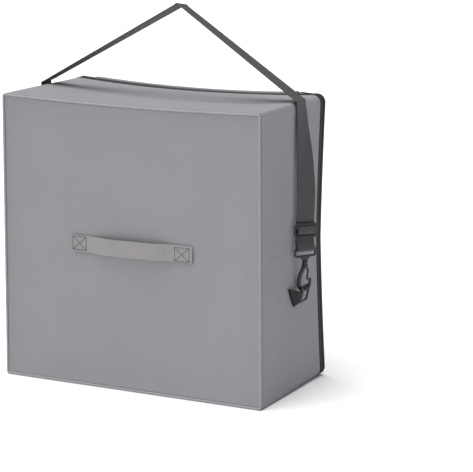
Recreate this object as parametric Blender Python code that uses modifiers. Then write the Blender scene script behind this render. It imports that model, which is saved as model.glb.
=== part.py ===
"""A square hat storage bag standing on edge: a soft folding box with a zipped lid, a grab handle,
two snap hooks and a webbing shoulder strap. Metres, +Z up, X across, Y from the front panel back to the lid,
origin under the middle of the base."""

import math

import bmesh
import bpy
import numpy as np
from mathutils import Matrix, Vector

# The box
BAG_WIDTH = 0.430
BAG_HEIGHT = 0.430
BAG_DEPTH = 0.2165
FRAME_SHIFT = 0.0045  # the box stands this far back, so that the handle's bulge keeps the part centred
WALL = 0.0025
PIPING = 0.0036  # thickness of the seam cord round the front panel
FRONT_CORNER = 0.0048
REAR_CORNER = 0.0140
FLARE = 0.0065  # share by which the foot is wider and the top narrower
CLEARANCE = 0.0003

# How the cloth has settled
SIDE_FOLD = 0.0050  # the side walls give way inwards along their middle fold
REAR_BOW = 0.0070  # the zipped edge leans forward halfway up
FRONT_SAG = 0.0040
REAR_SAG = 0.0090
TOP_CREASE = 0.0016
CREASE_BACK = 0.575  # share of the depth at which the top's crease crosses its middle
CREASE_SLANT = 0.09
CREASE_SPREAD = 0.06
PANEL_DISH = 0.0040  # the front panel lies this much behind its piping, and reaches it over these lengths
DISH_FROM_SIDE = 0.014
DISH_FROM_TOP = 0.020
DISH_FROM_FOOT = 0.010
LID_DISH = 0.0060

# The zip and the lid
TAPE_WIDTH = 0.0066
TAPE_THICKNESS = 0.0012
CHAIN_WIDTH = 0.0034
WRAP_LEFT = 0.0200  # the zip runs this far over the top edge at each side
WRAP_RIGHT = 0.0340
LID_RIM = 0.0048
LID_RIM_RISE = 0.0010
SLIDER_LENGTH = 0.0090
SLIDER_WIDTH = 0.0072
SLIDER_HEIGHT = 0.0030
PULL_LENGTH = 0.0180
PULL_WIDTH = 0.0050
PULL_THICKNESS = 0.0010

# The window in the base
WINDOW_WIDTH = 0.130
WINDOW_DEPTH = 0.120
WINDOW_BACK = -0.004
FILM = 0.0008
FILM_LAP = 0.008

# The grab handle on the front panel
HANDLE_LENGTH = 0.201
HANDLE_WIDTH = 0.025
HANDLE_THICKNESS = 0.0020
HANDLE_SEWN = 0.025
HANDLE_BOW = 0.0090
HANDLE_HEIGHT = 0.2155
HANDLE_SIDE = 0.0030  # the handle's middle lies this far to the right

# Elastic straps inside the front panel
ELASTIC_WIDTH = 0.030
ELASTIC_THICKNESS = 0.0012
ELASTIC_APART = 0.200
ELASTIC_OFF_PANEL = 0.012

# The shoulder strap
STRAP_WIDTH = 0.028
STRAP_THICKNESS = 0.0015
STRAP_BACK = 0.0235
APEX_SIDE = 0.0200
APEX_HEIGHT = 0.5610
APEX_TILT_DEG = 10.0  # the webbing's front edge is raised by this much where it is held up
BAR_LIFT = 0.0020  # the webbing's middle stands this far off a bar it goes round
SLOT_SPARE = 0.0006  # room beside the webbing in a slot
RUN_SHARES = (0.930, 0.841, 0.738, 0.636, 0.533)  # of the rise from the loop's bar to the top edge
RUN_FOOT = 0.440
SHOULDER_DROPS = (0.0070, 0.0030)
SHOULDER_BEND = 0.0005  # how far the webbing swings out round the box's top corner

# The snap hooks, their loops and the adjuster
HOOK_OUT = 0.0125  # the loop's bar hangs this far outside the box
HOOK_BACK = 0.0165
HOOK_HEIGHT = 0.2160
HOOK_DOWN = (-0.0040, 0.0055, -0.0600)  # from the loop's bar towards the ring
HOOK_TURN_DEG = 50.0
LOOP_BAR = 0.0032
SEWN_TAIL = 0.0370
LOOP_SLOT = 0.0085
LOOP_THICKNESS = 0.0032
LOOP_CORNER = 0.0015
SLOT_CORNER = 0.0008
NECK_TOP = 0.0150
NECK_FOOT = 0.0070
NECK_LENGTH = 0.0075
BARREL_RADIUS = 0.0042
BARREL_LENGTH = 0.0060
BARREL_LAP = 0.0025  # the neck runs this far into the barrel
BARREL_CHAMFER = 0.0010
HEAD_RADIUS = 0.0046
HEAD_LENGTH = 0.0047
HOOK_LENGTH = 0.0385  # from the head's top to the middle of the hook's bend
HOOK_HALF = 0.0082
HOOK_WIRE = 0.0029
GATE_WIRE = 0.0016
GATE_GAP = 0.0007
EYE_SIDE = 0.0010
SLIDE_WIDTH = 0.0360
SLIDE_HEIGHT = 0.0230
SLIDE_SLOT = 0.0052
SLIDE_BAR = 0.0032
SLIDE_THICKNESS = 0.0030
SLIDE_WRAP = 0.0030  # the webbing's middle stands this far off the middle bar's axis
SLIDE_ABOVE_BAR = 0.0270
SLIDE_CORNER = 0.0045

# The rings and their tabs on the side walls
RING_WIRE = 0.0017
RING_WIDTH = 0.0250
RING_CORNER = 0.0035
RING_FORE = 0.0080  # the front bar stands this far before the hook
RING_FOOT_OUT = 0.0025
RING_FOOT_BELOW = 0.0825  # under the loop's bar
TAB_THICKNESS = 0.0015
TAB_LENGTH = 0.0165
TAB_SEWN_HEIGHT = 0.0300
TAB_LEAN = 0.0160
TAB_FOOT_GAP = 0.0004  # from the ring's corners to the tab along the front bar
TAB_HEAD_GAP = 0.0044

# Tidy numbers for the meshes
ARC_CELLS = 3
STRAIGHT_CELLS = 12
DEPTH_CELLS = 6
PANEL_CELLS = 12

PARTS = "hat_storage_bag"
CUTTERS = "cutters"
FRONT_Y = FRAME_SHIFT - BAG_DEPTH / 2
REAR_Y = FRAME_SHIFT + BAG_DEPTH / 2
ZIP_BAND = 2 * TAPE_WIDTH + CHAIN_WIDTH + 2 * CLEARANCE
BAND_Y = REAR_Y - ZIP_BAND
WALL_FRONT_Y = FRONT_Y + PIPING + CLEARANCE


def clear_scene():
    for item in list(bpy.data.objects):
        bpy.data.objects.remove(item)
    for name in (PARTS, CUTTERS):
        group = bpy.data.collections.new(name)
        bpy.context.scene.collection.children.link(group)
    bpy.data.collections[CUTTERS].hide_render = True


def material(name, colour, roughness, metallic=0.0):
    made = bpy.data.materials.new(name)
    made.use_nodes = True
    shader = made.node_tree.nodes["Principled BSDF"]
    shader.inputs["Base Color"].default_value = (*colour, 1.0)
    shader.inputs["Roughness"].default_value = roughness
    shader.inputs["Metallic"].default_value = metallic
    return made


def add(name, data, look, group=PARTS):
    item = bpy.data.objects.new(name, data)
    bpy.data.collections[group].objects.link(item)
    if look:
        data.materials.clear()
        data.materials.append(material(name, *look))
    return item


CLOTH = ((0.21, 0.22, 0.23), 0.75)
TRIM = ((0.27, 0.27, 0.28), 0.8)
BLACK_TAPE = ((0.018, 0.018, 0.020), 0.8)
BLACK_PLASTIC = ((0.012, 0.012, 0.013), 0.45)
WEBBING = ((0.06, 0.06, 0.062), 0.85)
CLEAR_FILM = ((0.80, 0.84, 0.86), 0.15)
ELASTIC = ((0.45, 0.45, 0.46), 0.85)
DARK_METAL = ((0.05, 0.05, 0.055), 0.4, 0.8)


def smooth(value):
    """0 below 0, 1 above 1, and a soft step between."""
    value = np.clip(value, 0.0, 1.0)
    return value * value * (3.0 - 2.0 * value)


def settled(points):
    """Points of the straight box moved as its cloth has settled: the side walls fold in along their middle,
    the top sags between its corners, the zipped edge bows forward and the foot is a little wider."""
    x, y, z = np.moveaxis(np.asarray(points, float), -1, 0)
    across = x / (BAG_WIDTH / 2)
    depth = np.clip((y - FRONT_Y) / BAG_DEPTH, 0.0, 1.0)
    height = z / BAG_HEIGHT
    fold = 1.0 - np.abs(2 * height - 1.0)
    bow = np.clip(1.0 - (2 * height - 1.0) ** 2, 0.0, 1.0)
    between = np.clip(1.0 - across**2, 0.0, 1.0)
    x = x * (1.0 + FLARE * (1.0 - 2 * height)) - across * SIDE_FOLD * fold * smooth(2.2 * depth)
    y = y - REAR_BOW * bow * depth**3
    z = z - smooth((height - 0.75) / 0.25) * between * (FRONT_SAG + (REAR_SAG - FRONT_SAG) * depth)
    return np.stack([x, y, z], axis=-1)


def corner_radius(y):
    """The box's corners are sharp behind the front panel and rounder towards the zip."""
    depth = np.clip((y - FRONT_Y) / BAG_DEPTH, 0.0, 1.0)
    return FRONT_CORNER + (REAR_CORNER - FRONT_CORNER) * smooth(depth)


def outline(side, code, radius, inset, trim=0.0):
    """X and Z of the box's outline: side 0 is the base, 1 the right, 2 the top, 3 the left. On a side, code runs
    -1..1 along the straight stretch and out to -2 or 2 at the middle of the corner, trimmed for a seam there."""
    half_across = np.where(side % 2 == 0, BAG_WIDTH, BAG_HEIGHT) / 2
    bend = radius - inset
    angle = np.clip(np.abs(code) - 1.0, 0.0, 1.0) * (math.pi / 4 - trim / bend)
    along = np.sign(code) * ((half_across - radius) * np.minimum(np.abs(code), 1.0) + bend * np.sin(angle))
    out = np.where(side % 2 == 0, BAG_HEIGHT, BAG_WIDTH) / 2 - inset - bend * (1.0 - np.cos(angle))
    x = np.choose(side, [along, out, -along, -out])
    z = np.choose(side, [-out, along, out, -along]) + BAG_HEIGHT / 2
    return x, z


def side_codes(straight_cells):
    """Stations along one side, with cells of their own on the two half corners."""
    arc = np.linspace(1.0, 2.0, ARC_CELLS + 1)
    return np.concatenate([-arc[::-1], np.linspace(-1.0, 1.0, straight_cells + 1)[1:-1], arc])


def slab(name, columns, rows, place, look):
    """A box of cells, one cell thick, each of whose points place(u, v, w) puts where it belongs."""
    form = bmesh.new()
    bmesh.ops.create_grid(form, x_segments=columns, y_segments=rows, size=0.5)
    skin = bmesh.ops.extrude_face_region(form, geom=form.faces[:], use_keep_orig=True)
    for part in skin["geom"]:
        if isinstance(part, bmesh.types.BMVert):
            part.co.z = 1.0
    mesh = bpy.data.meshes.new(name)
    form.to_mesh(mesh)
    flat = np.empty(len(mesh.vertices) * 3)
    mesh.vertices.foreach_get("co", flat)
    u, v, w = flat.reshape(-1, 3).T
    mesh.vertices.foreach_set("co", place(u + 0.5, v + 0.5, w).ravel())
    face_outwards(mesh)
    form.free()
    return add(name, mesh, look)


def face_outwards(mesh):
    form = bmesh.new()
    form.from_mesh(mesh)
    bmesh.ops.recalc_face_normals(form, faces=form.faces)
    form.to_mesh(mesh)
    form.free()
    mesh.update()


def sheet(name, middle, thickness, look):
    """A sheet whose middle surface is a grid of points, given its thickness to both sides."""
    columns, rows = middle.shape[0] - 1, middle.shape[1] - 1
    form = bmesh.new()
    bmesh.ops.create_grid(form, x_segments=columns, y_segments=rows, size=0.5)
    for vert in form.verts:
        i = round((vert.co.x + 0.5) * columns)
        j = round((vert.co.y + 0.5) * rows)
        vert.co = middle[i, j]
    mesh = bpy.data.meshes.new(name)
    form.to_mesh(mesh)
    form.free()
    item = add(name, mesh, look)
    wall = item.modifiers.new("thickness", "SOLIDIFY")
    wall.thickness = thickness
    wall.offset = 0.0
    wall.use_even_offset = True
    return item


def tube(name, points, radius, look, closed=False, sides=2, radii=None):
    """A cord or wire along the points, with filled ends unless it is a closed loop."""
    line = bpy.data.curves.new(name, "CURVE")
    line.dimensions = "3D"
    line.bevel_depth = radius
    line.bevel_resolution = sides
    line.use_fill_caps = not closed
    path = line.splines.new("POLY")
    path.points.add(len(points) - 1)
    for i, spot in enumerate(points):
        path.points[i].co = (*spot, 1.0)
        path.points[i].radius = 1.0 if radii is None else radii[i] / radius
    path.use_cyclic_u = closed
    return add(name, line, look)


def baked(item):
    """The object's finished form as a plain welded mesh, in place of its curve or modifiers."""
    bpy.context.view_layer.update()
    name, looks = item.name, [slot.material for slot in item.material_slots]
    mesh = bpy.data.meshes.new_from_object(item.evaluated_get(bpy.context.evaluated_depsgraph_get()))
    form = bmesh.new()
    form.from_mesh(mesh)
    bmesh.ops.remove_doubles(form, verts=form.verts, dist=1e-6)
    form.to_mesh(mesh)
    form.free()
    group = item.users_collection[0]
    matrix = item.matrix_world.copy()
    bpy.data.objects.remove(item)
    mesh.materials.clear()
    for look in looks:
        mesh.materials.append(look)
    made = bpy.data.objects.new(name, mesh)
    made.matrix_world = matrix
    group.objects.link(made)
    return made


def joined(item, other):
    """Boolean union of two meshes into the first."""
    union = item.modifiers.new("union", "BOOLEAN")
    union.operation = "UNION"
    union.solver = "EXACT"
    union.object = other
    made = baked(item)
    bpy.data.objects.remove(other)
    return made


def cut(item, cutter):
    """A hole left by the cutter, which stays in the file as a guide."""
    difference = item.modifiers.new("cut", "BOOLEAN")
    difference.operation = "DIFFERENCE"
    difference.solver = "EXACT"
    difference.object = cutter
    cutter.hide_render = True
    cutter.display_type = "WIRE"


def turned_about(item, pivot):
    """Puts the object's origin on a pivot and leaves its form where it is."""
    item.data.transform(Matrix.Translation(-Vector(pivot)))
    item.location = pivot
    return item


def mirrored(item, name):
    """The same piece for the left side."""
    mesh = item.data.copy()
    mesh.transform(Matrix.Scale(-1.0, 4, (1.0, 0.0, 0.0)))
    mesh.flip_normals()
    mesh.materials.clear()
    made = bpy.data.objects.new(name, mesh)
    source = item.active_material
    look = source.copy()
    look.name = name
    mesh.materials.append(look)
    made.location = (-item.location.x, item.location.y, item.location.z)
    bpy.data.collections[PARTS].objects.link(made)
    return made


def build_wall(name, side):
    """One of the four walls, with half of each corner beside it, from the front seam to the zip."""
    codes = side_codes(STRAIGHT_CELLS)
    reach = BAND_Y - CLEARANCE - WALL_FRONT_Y

    def place(u, v, w):
        y = WALL_FRONT_Y + v * reach
        code = np.interp(u, np.linspace(0.0, 1.0, len(codes)), codes)
        x, z = outline(np.full(len(u), side), code, corner_radius(y), w * WALL, CLEARANCE / 2)
        if side == 2:
            z = z - top_folds(x, y)
        return settled(np.stack([x, y, z], axis=-1))

    return slab(name, len(codes) - 1, DEPTH_CELLS * (2 if side == 2 else 1), place, CLOTH)


def top_folds(x, y):
    """The long crease that runs slantwise over the top, and a shallow hollow to each side of it."""
    across = x / (BAG_WIDTH / 2)
    depth = (y - FRONT_Y) / BAG_DEPTH
    crease = np.exp(-np.abs(depth - CREASE_BACK + CREASE_SLANT * across) / CREASE_SPREAD)
    hollow = np.sin(np.pi * np.clip(depth, 0.0, 1.0) * 3.0) ** 2
    flat_ends = np.clip(1.0 - across**4, 0.0, 1.0) * np.clip(1.0 - (2 * depth - 1.0) ** 6, 0.0, 1.0)
    return TOP_CREASE * (crease + 0.5 * hollow) * flat_ends


def rounded_square(u, v, half_width, half_height, radius):
    """A unit square mapped to a rectangle with round corners: in each corner square a point moves in so that
    the outer edges lie on the arc."""
    stations = np.concatenate(
        [[-1.0], np.linspace(-1.0 + radius / half_width, 1.0 - radius / half_width, PANEL_CELLS - 1), [1.0]]
    )
    a = np.interp(u, np.linspace(0.0, 1.0, len(stations)), stations)
    b = np.interp(v, np.linspace(0.0, 1.0, len(stations)), stations)
    x, z = a * half_width, b * half_height
    over_x = np.clip((np.abs(x) - half_width + radius) / radius, 0.0, 1.0)
    over_z = np.clip((np.abs(z) - half_height + radius) / radius, 0.0, 1.0)
    x = np.where(over_x > 0, np.sign(x) * (half_width - radius + radius * over_x * np.sqrt(1 - over_z**2 / 2)), x)
    z = np.where(over_z > 0, np.sign(z) * (half_height - radius + radius * over_z * np.sqrt(1 - over_x**2 / 2)), z)
    return x, z


def front_dish(x, z):
    """How far the front panel lies behind its piping: at once at the foot, over a few fingers elsewhere."""
    sides = 1 - np.exp((np.abs(x) - BAG_WIDTH / 2) / DISH_FROM_SIDE)
    top = 1 - np.exp((z - BAG_HEIGHT) / DISH_FROM_TOP)
    foot = 1 - np.exp(-z / DISH_FROM_FOOT)
    return PANEL_DISH * sides * top * foot


def front_surface(x, z):
    """Y of the front panel's outer face."""
    return FRONT_Y + 0.3 * PIPING + front_dish(x, z)


def build_front():
    inner = PIPING + CLEARANCE
    half_width, half_height = BAG_WIDTH / 2 - inner, BAG_HEIGHT / 2 - inner

    def place(u, v, w):
        x, z = rounded_square(u, v, half_width, half_height, FRONT_CORNER / 2)
        z = z + BAG_HEIGHT / 2
        return settled(np.stack([x, front_surface(x, z) + w * WALL, z], axis=-1))

    slab("front_panel", PANEL_CELLS, PANEL_CELLS, place, CLOTH)
    codes = side_codes(STRAIGHT_CELLS)[:-1]
    loop = []
    for side in range(4):
        x, z = outline(np.full(len(codes), side), codes, FRONT_CORNER, PIPING / 2)
        loop.append(np.stack([x, np.full(len(codes), FRONT_Y + PIPING / 2), z], axis=-1))
    baked(tube("front_piping", settled(np.concatenate(loop)), PIPING / 2, TRIM, closed=True))


def band(name, y_from, y_to, thickness, look):
    """A band of the zip: over the top at the left, down, along the foot, up and over the top at the right."""
    codes = side_codes(STRAIGHT_CELLS)
    straight = BAG_WIDTH / 2 - REAR_CORNER
    stations = [(2, (straight - WRAP_LEFT) / straight)]
    stations += [(2, code) for code in codes if code >= 1.0]
    for side in (3, 0, 1):
        stations += [(side, code) for code in codes[1:]]
    stations += [(2, code) for code in codes[1:] if code <= -1.0]
    stations += [(2, -(straight - WRAP_RIGHT) / straight)]
    sides = np.array([side for side, _ in stations])
    along = np.array([code for _, code in stations])

    def place(u, v, w):
        index = np.rint(u * (len(stations) - 1)).astype(int)
        y = y_from + v * (y_to - y_from)
        x, z = outline(sides[index], along[index], np.full(len(u), REAR_CORNER), w * thickness)
        return settled(np.stack([x, y, z], axis=-1))

    return slab(name, len(stations) - 1, 1, place, look)


def build_zip():
    chain_y = BAND_Y + TAPE_WIDTH + CLEARANCE
    lid_tape_y = chain_y + CHAIN_WIDTH + CLEARANCE
    band("zip_tape_body", BAND_Y, BAND_Y + TAPE_WIDTH, TAPE_THICKNESS, BLACK_TAPE)
    band("zip_chain", chain_y, chain_y + CHAIN_WIDTH, TAPE_THICKNESS, BLACK_PLASTIC)
    band("zip_tape_lid", lid_tape_y, REAR_Y, TAPE_THICKNESS, BLACK_TAPE)
    start = BAG_WIDTH / 2 - WRAP_RIGHT - REAR_CORNER
    middle_y = chain_y + CHAIN_WIDTH / 2

    def slider(u, v, w):
        x = start + CLEARANCE + u * SLIDER_LENGTH
        y = middle_y + (v - 0.5) * SLIDER_WIDTH * (1.0 - 0.35 * u)
        z = BAG_HEIGHT + CLEARANCE + w * SLIDER_HEIGHT * (1.0 - 0.3 * (2 * u - 1) ** 2)
        return settled(np.stack([x, y, z], axis=-1))

    def pull(u, v, w):
        x = start + SLIDER_LENGTH + 2 * CLEARANCE + u * PULL_LENGTH
        y = middle_y + (v - 0.5) * PULL_WIDTH * (1.0 - 0.25 * u)
        z = BAG_HEIGHT + CLEARANCE + w * PULL_THICKNESS
        return settled(np.stack([x, y, z], axis=-1))

    slab("zip_slider", 4, 2, slider, BLACK_PLASTIC)
    slab("zip_pull", 4, 1, pull, BLACK_PLASTIC)


def build_lid():
    """The lid panel inside its tape, the strip it hinges on and the turned rim along its top edge."""
    left = -(BAG_WIDTH / 2 - WRAP_LEFT - REAR_CORNER) + CLEARANCE
    right = BAG_WIDTH / 2 - WRAP_RIGHT - REAR_CORNER - CLEARANCE
    rim_y = REAR_Y - LID_RIM / 2 - CLEARANCE
    rim_z = BAG_HEIGHT + LID_RIM_RISE
    half_width = BAG_WIDTH / 2 - TAPE_THICKNESS - CLEARANCE
    foot = TAPE_THICKNESS + CLEARANCE
    head = rim_z - LID_RIM / 2 - CLEARANCE

    def panel(u, v, w):
        x, z = rounded_square(u, v, half_width, (head - foot) / 2, REAR_CORNER - foot)
        z = z + (head + foot) / 2
        middle = np.clip(1 - (x / half_width) ** 2, 0, 1) * np.clip(1 - (2 * z / BAG_HEIGHT - 1) ** 2, 0, 1)
        y = REAR_Y - CLEARANCE - LID_DISH * smooth(3 * middle) + 0.5 * LID_DISH * middle - w * WALL
        return settled(np.stack([x, y, z], axis=-1))

    def hinge(u, v, w):
        x = left + u * (right - left)
        y = BAND_Y + v * (rim_y - LID_RIM / 2 - CLEARANCE - BAND_Y)
        return settled(np.stack([x, y, BAG_HEIGHT - w * TAPE_THICKNESS], axis=-1))

    slab("lid_panel", PANEL_CELLS, PANEL_CELLS, panel, CLOTH)
    slab("lid_hinge", STRAIGHT_CELLS, 1, hinge, BLACK_TAPE)
    across = np.linspace(left, right, STRAIGHT_CELLS + 5)
    points = np.stack([across, np.full(len(across), rim_y), np.full(len(across), rim_z)], axis=-1)
    baked(tube("lid_rim", settled(points), LID_RIM / 2, TRIM))


def build_window():
    """The hole in the base and the clear film that lies over it inside."""
    form = bmesh.new()
    bmesh.ops.create_cube(form, size=1.0)
    bmesh.ops.scale(form, vec=(WINDOW_WIDTH, WINDOW_DEPTH, 8 * WALL), verts=form.verts)
    bmesh.ops.translate(form, vec=(0.0, WINDOW_BACK, 0.0), verts=form.verts)
    mesh = bpy.data.meshes.new("window_cutter")
    form.to_mesh(mesh)
    form.free()
    cutter = add("window_cutter", mesh, None, CUTTERS)
    cut(bpy.data.objects["bottom_wall"], cutter)

    def film(u, v, w):
        x = (u - 0.5) * (WINDOW_WIDTH + 2 * FILM_LAP)
        y = WINDOW_BACK + (v - 0.5) * (WINDOW_DEPTH + 2 * FILM_LAP)
        return np.stack([x, y, WALL + CLEARANCE + w * FILM], axis=-1)

    slab("window_film", 4, 4, film, CLEAR_FILM)


def build_handle():
    """Webbing sewn flat at both ends and standing off the panel between them."""
    stations = np.linspace(0.0, 1.0, 25)
    x = HANDLE_SIDE + (stations - 0.5) * HANDLE_LENGTH
    free = smooth((HANDLE_LENGTH / 2 - HANDLE_SEWN - np.abs(x - HANDLE_SIDE)) / (0.22 * HANDLE_LENGTH))
    rows = np.linspace(-0.5, 0.5, 3) * HANDLE_WIDTH
    xs, heights = np.meshgrid(x, HANDLE_HEIGHT + rows, indexing="ij")
    y = front_surface(xs, heights) - CLEARANCE - HANDLE_THICKNESS / 2 - HANDLE_BOW * free[:, None]
    sheet("grab_handle", settled(np.stack([xs, y, heights], axis=-1)), HANDLE_THICKNESS, WEBBING)


def build_elastics():
    """Two elastic straps over the hat, from the base wall to the top wall."""
    for name, side in (("inner_strap_left", -1), ("inner_strap_right", 1)):
        up = np.linspace(0.0, 1.0, 17)
        rows = (np.linspace(-0.5, 0.5, 2) * ELASTIC_WIDTH) + side * ELASTIC_APART / 2
        share, across = np.meshgrid(up, rows, indexing="ij")
        top = BAG_HEIGHT - WALL - 2.2 * TOP_CREASE - CLEARANCE
        foot = WALL + CLEARANCE
        height = foot + share * (top - foot)
        y = FRONT_Y + WALL + PANEL_DISH + ELASTIC_OFF_PANEL * (0.4 + 0.6 * np.sin(np.pi * share))
        sheet(name, settled(np.stack([across, y, height], axis=-1)), ELASTIC_THICKNESS, ELASTIC)


# The hook's wire from its head round the bend to its tip: shares of its half width, of its length above the
# bend and of its radius.
HOOK_LINE = (
    (-0.20, 0.914, 1.05), (-0.50, 0.753, 1.05), (-0.86, 0.519, 1.05), (-1.02, 0.312, 1.05),
    (-1.00, 0.156, 1.00), (-0.62, 0.031, 0.95), (0.00, 0.000, 0.93), (0.60, 0.036, 0.90),
    (0.92, 0.156, 0.84), (1.00, 0.325, 0.76), (0.97, 0.455, 0.66),
)


def hook_axis():
    """Where the loop's bar lies on the right side, and the direction down to the ring."""
    bar = np.array([BAG_WIDTH / 2 + HOOK_OUT, HOOK_BACK, HOOK_HEIGHT])
    down = np.array(HOOK_DOWN)
    return bar, down / np.linalg.norm(down)


def axes_at(turn_deg, down):
    """Width, outward and up directions of webbing or hardware turned from the wall by this angle."""
    turn = math.radians(turn_deg)
    width = np.array([math.sin(turn), math.cos(turn), 0.0])
    up = -np.asarray(down, float)
    width = width - up * (width @ up)
    width /= np.linalg.norm(width)
    return width, np.cross(width, up), up


# How the strap hangs beside the box: share of the rise from the loop's bar to the top edge, distance outside
# the side wall, place along the depth, and turn from the wall.
HANG = (
    ("share", "out", "back", "turn_deg"),
    (0.000, HOOK_OUT, HOOK_BACK, 40.0),
    (0.126, 0.0128, 0.0166, 41.0),
    (0.252, 0.0130, 0.0170, 42.0),
    (0.416, 0.0125, 0.0180, 44.0),
    (0.626, 0.0090, 0.0210, 28.0),
    (0.836, 0.0040, 0.0230, 8.0),
    (1.000, 0.0010, STRAP_BACK, 0.0),
)


def rise_to(share):
    """Height at this share of the rise from the loop's bar to the box's top edge."""
    return HOOK_HEIGHT + share * (BAG_HEIGHT - HOOK_HEIGHT)


def hang(height):
    """Middle of the strap's run beside the box at this height, with its width and outward directions."""
    table = np.array(HANG[1:])
    share = (height - HOOK_HEIGHT) / (BAG_HEIGHT - HOOK_HEIGHT)
    out, back, turn = (np.interp(share, table[:, 0], table[:, k]) for k in (1, 2, 3))
    width, outward, _ = axes_at(turn, (0.0, 0.0, -1.0))
    return np.array([BAG_WIDTH / 2 + out, back, height]), width, outward


def ellipse(middle, half_height, half_depth, start_deg, stop_deg, count):
    """Height and outward offset round an oval: 0 degrees is out, 90 up, 180 in."""
    angle = np.radians(np.linspace(start_deg, stop_deg, count))
    return [(middle + half_height * math.sin(a), half_depth * math.cos(a)) for a in angle]


def strap_right():
    """Height and outward offset of the webbing at the right: down behind the adjuster's upper bar, over its
    middle bar, behind the lower bar, round the hook loop's bar and back up round the middle bar."""
    half = STRAP_THICKNESS / 2
    slide = HOOK_HEIGHT + SLIDE_ABOVE_BAR
    over = SLIDE_WRAP + STRAP_THICKNESS + CLEARANCE
    slot_edge = SLIDE_BAR / 2 + SLIDE_SLOT
    cross = slot_edge - CLEARANCE - half
    behind = SLIDE_THICKNESS / 2 + CLEARANCE + half
    second = behind + STRAP_THICKNESS + CLEARANCE
    round_bar = LOOP_BAR / 2 + BAR_LIFT
    entry = SLIDE_THICKNESS / 3
    tail = SLIDE_HEIGHT / 2 - CLEARANCE
    path = [(rise_to(RUN_FOOT), 0.0), (slide + 1.8 * SLIDE_HEIGHT, -CLEARANCE), (slide + 0.7 * SLIDE_HEIGHT, -behind)]
    path += [(slide + slot_edge + CLEARANCE, -behind), (slide + cross + CLEARANCE, 2 * CLEARANCE - behind)]
    path += [(slide + cross, -entry)]
    path += ellipse(slide, cross, over, 80, -80, 9)
    path += [(slide - cross, -entry), (slide - cross - CLEARANCE, 2 * CLEARANCE - behind)]
    path += [(slide - slot_edge - CLEARANCE, -behind), (slide - tail, -behind)]
    path += [(HOOK_HEIGHT + 2.5 * LOOP_BAR, -2 * CLEARANCE), (HOOK_HEIGHT + 1.1 * LOOP_BAR, 0.6 * round_bar)]
    path += ellipse(HOOK_HEIGHT, round_bar, round_bar, 15, -195, 9)
    path += [(HOOK_HEIGHT + 1.4 * LOOP_BAR, -1.3 * round_bar)]
    path += [(HOOK_HEIGHT + 2.8 * LOOP_BAR, -second - 2 * CLEARANCE)]
    path += [(slide - tail, -second), (slide - slot_edge - CLEARANCE, -second)]
    path += [(slide - 1.1 * SLIDE_BAR, -0.5 * (second + SLIDE_WRAP))]
    path += ellipse(slide, SLIDE_WRAP, SLIDE_WRAP, 180, 15, 8)
    return path


def strap_left():
    """The sewn end: the tail hangs behind the run, and the webbing goes round the left loop's bar."""
    round_bar = LOOP_BAR / 2 + BAR_LIFT
    layer = STRAP_THICKNESS + CLEARANCE
    sewn = HOOK_HEIGHT + SEWN_TAIL
    path = [(rise_to(RUN_FOOT), 0.0), (sewn, 0.0), (HOOK_HEIGHT + 4.4 * LOOP_BAR, 2 * CLEARANCE)]
    path += [(HOOK_HEIGHT + 1.4 * LOOP_BAR, 0.7 * round_bar)]
    path += ellipse(HOOK_HEIGHT, round_bar, round_bar, 15, -195, 9)
    path += [(HOOK_HEIGHT + 1.9 * LOOP_BAR, -round_bar), (HOOK_HEIGHT + 4.7 * LOOP_BAR, CLEARANCE - layer)]
    path += [(sewn, -layer)]
    return path


def strap_line():
    """Every station of the shoulder strap, its middle and its width direction, from the left end."""
    runs = {height: hang(height) for height in map(rise_to, RUN_SHARES)}
    stations = []
    for height, offset in reversed(strap_left()):
        spot, width, outward = hang(height)
        stations.append(((spot + offset * outward) * (-1, 1, 1), width * (1, -1, -1)))
    stations += [(spot * (-1, 1, 1), width * (1, -1, -1)) for spot, width, _ in reversed(runs.values())]
    clear = CLEARANCE + STRAP_THICKNESS / 2
    apex = np.array([APEX_SIDE, STRAP_BACK, APEX_HEIGHT])
    for side in (-1, 1):
        shoulder = np.array([side * (BAG_WIDTH / 2 + clear), STRAP_BACK, BAG_HEIGHT + clear])
        spots = [(shoulder - (0, 0, drop), 0.0) for drop in SHOULDER_DROPS]
        spots += [(shoulder + SHOULDER_BEND * np.array([-side, 0, 1]), 0.0)]
        spots += [(shoulder + share * (apex - shoulder), share) for share in (0.02, *np.linspace(0.06, 0.97, 11))]
        spots += [(apex, 1.0)] if side > 0 else []
        part = []
        for spot, share in spots:
            tilt = share * math.radians(APEX_TILT_DEG)
            part.append((spot, np.array([0.0, -math.cos(tilt), math.sin(tilt)])))
        stations += part if side < 0 else part[::-1]
    stations += [(spot, -width) for spot, width, _ in runs.values()]
    for height, offset in strap_right():
        spot, width, outward = hang(height)
        stations.append((spot + offset * outward, -width))
    return stations


def build_strap():
    """Webbing laid along its stations."""
    middle, width = (np.array(rows) for rows in zip(*strap_line()))
    rows = np.array([-0.5, 0.5])[None, :, None] * STRAP_WIDTH
    sheet("shoulder_strap", middle[:, None] + rows * width[:, None], STRAP_THICKNESS, WEBBING)


def plate(name, outer, holes, thickness, look):
    """A flat moulded plate with slots, drawn in its own plane and extruded to its thickness."""
    shape = bpy.data.curves.new(name, "CURVE")
    shape.dimensions = "2D"
    shape.fill_mode = "BOTH"
    edge = thickness / 6
    shape.extrude = thickness / 2 - edge
    shape.bevel_depth = edge
    shape.bevel_resolution = 0
    shape.offset = -edge
    for outline_points in (outer, *holes):
        path = shape.splines.new("POLY")
        path.points.add(len(outline_points) - 1)
        for i, (across, up) in enumerate(outline_points):
            path.points[i].co = (across, up, 0.0, 1.0)
        path.use_cyclic_u = True
    return baked(add(name, shape, look))


def oblong(half_width, low, high, corner):
    """A rectangle with cut corners, symmetric about the middle."""
    return [
        (-half_width + corner, low), (half_width - corner, low),
        (half_width, low + corner), (half_width, high - corner),
        (half_width - corner, high), (-half_width + corner, high),
        (-half_width, high - corner), (-half_width, low + corner),
    ]


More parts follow.
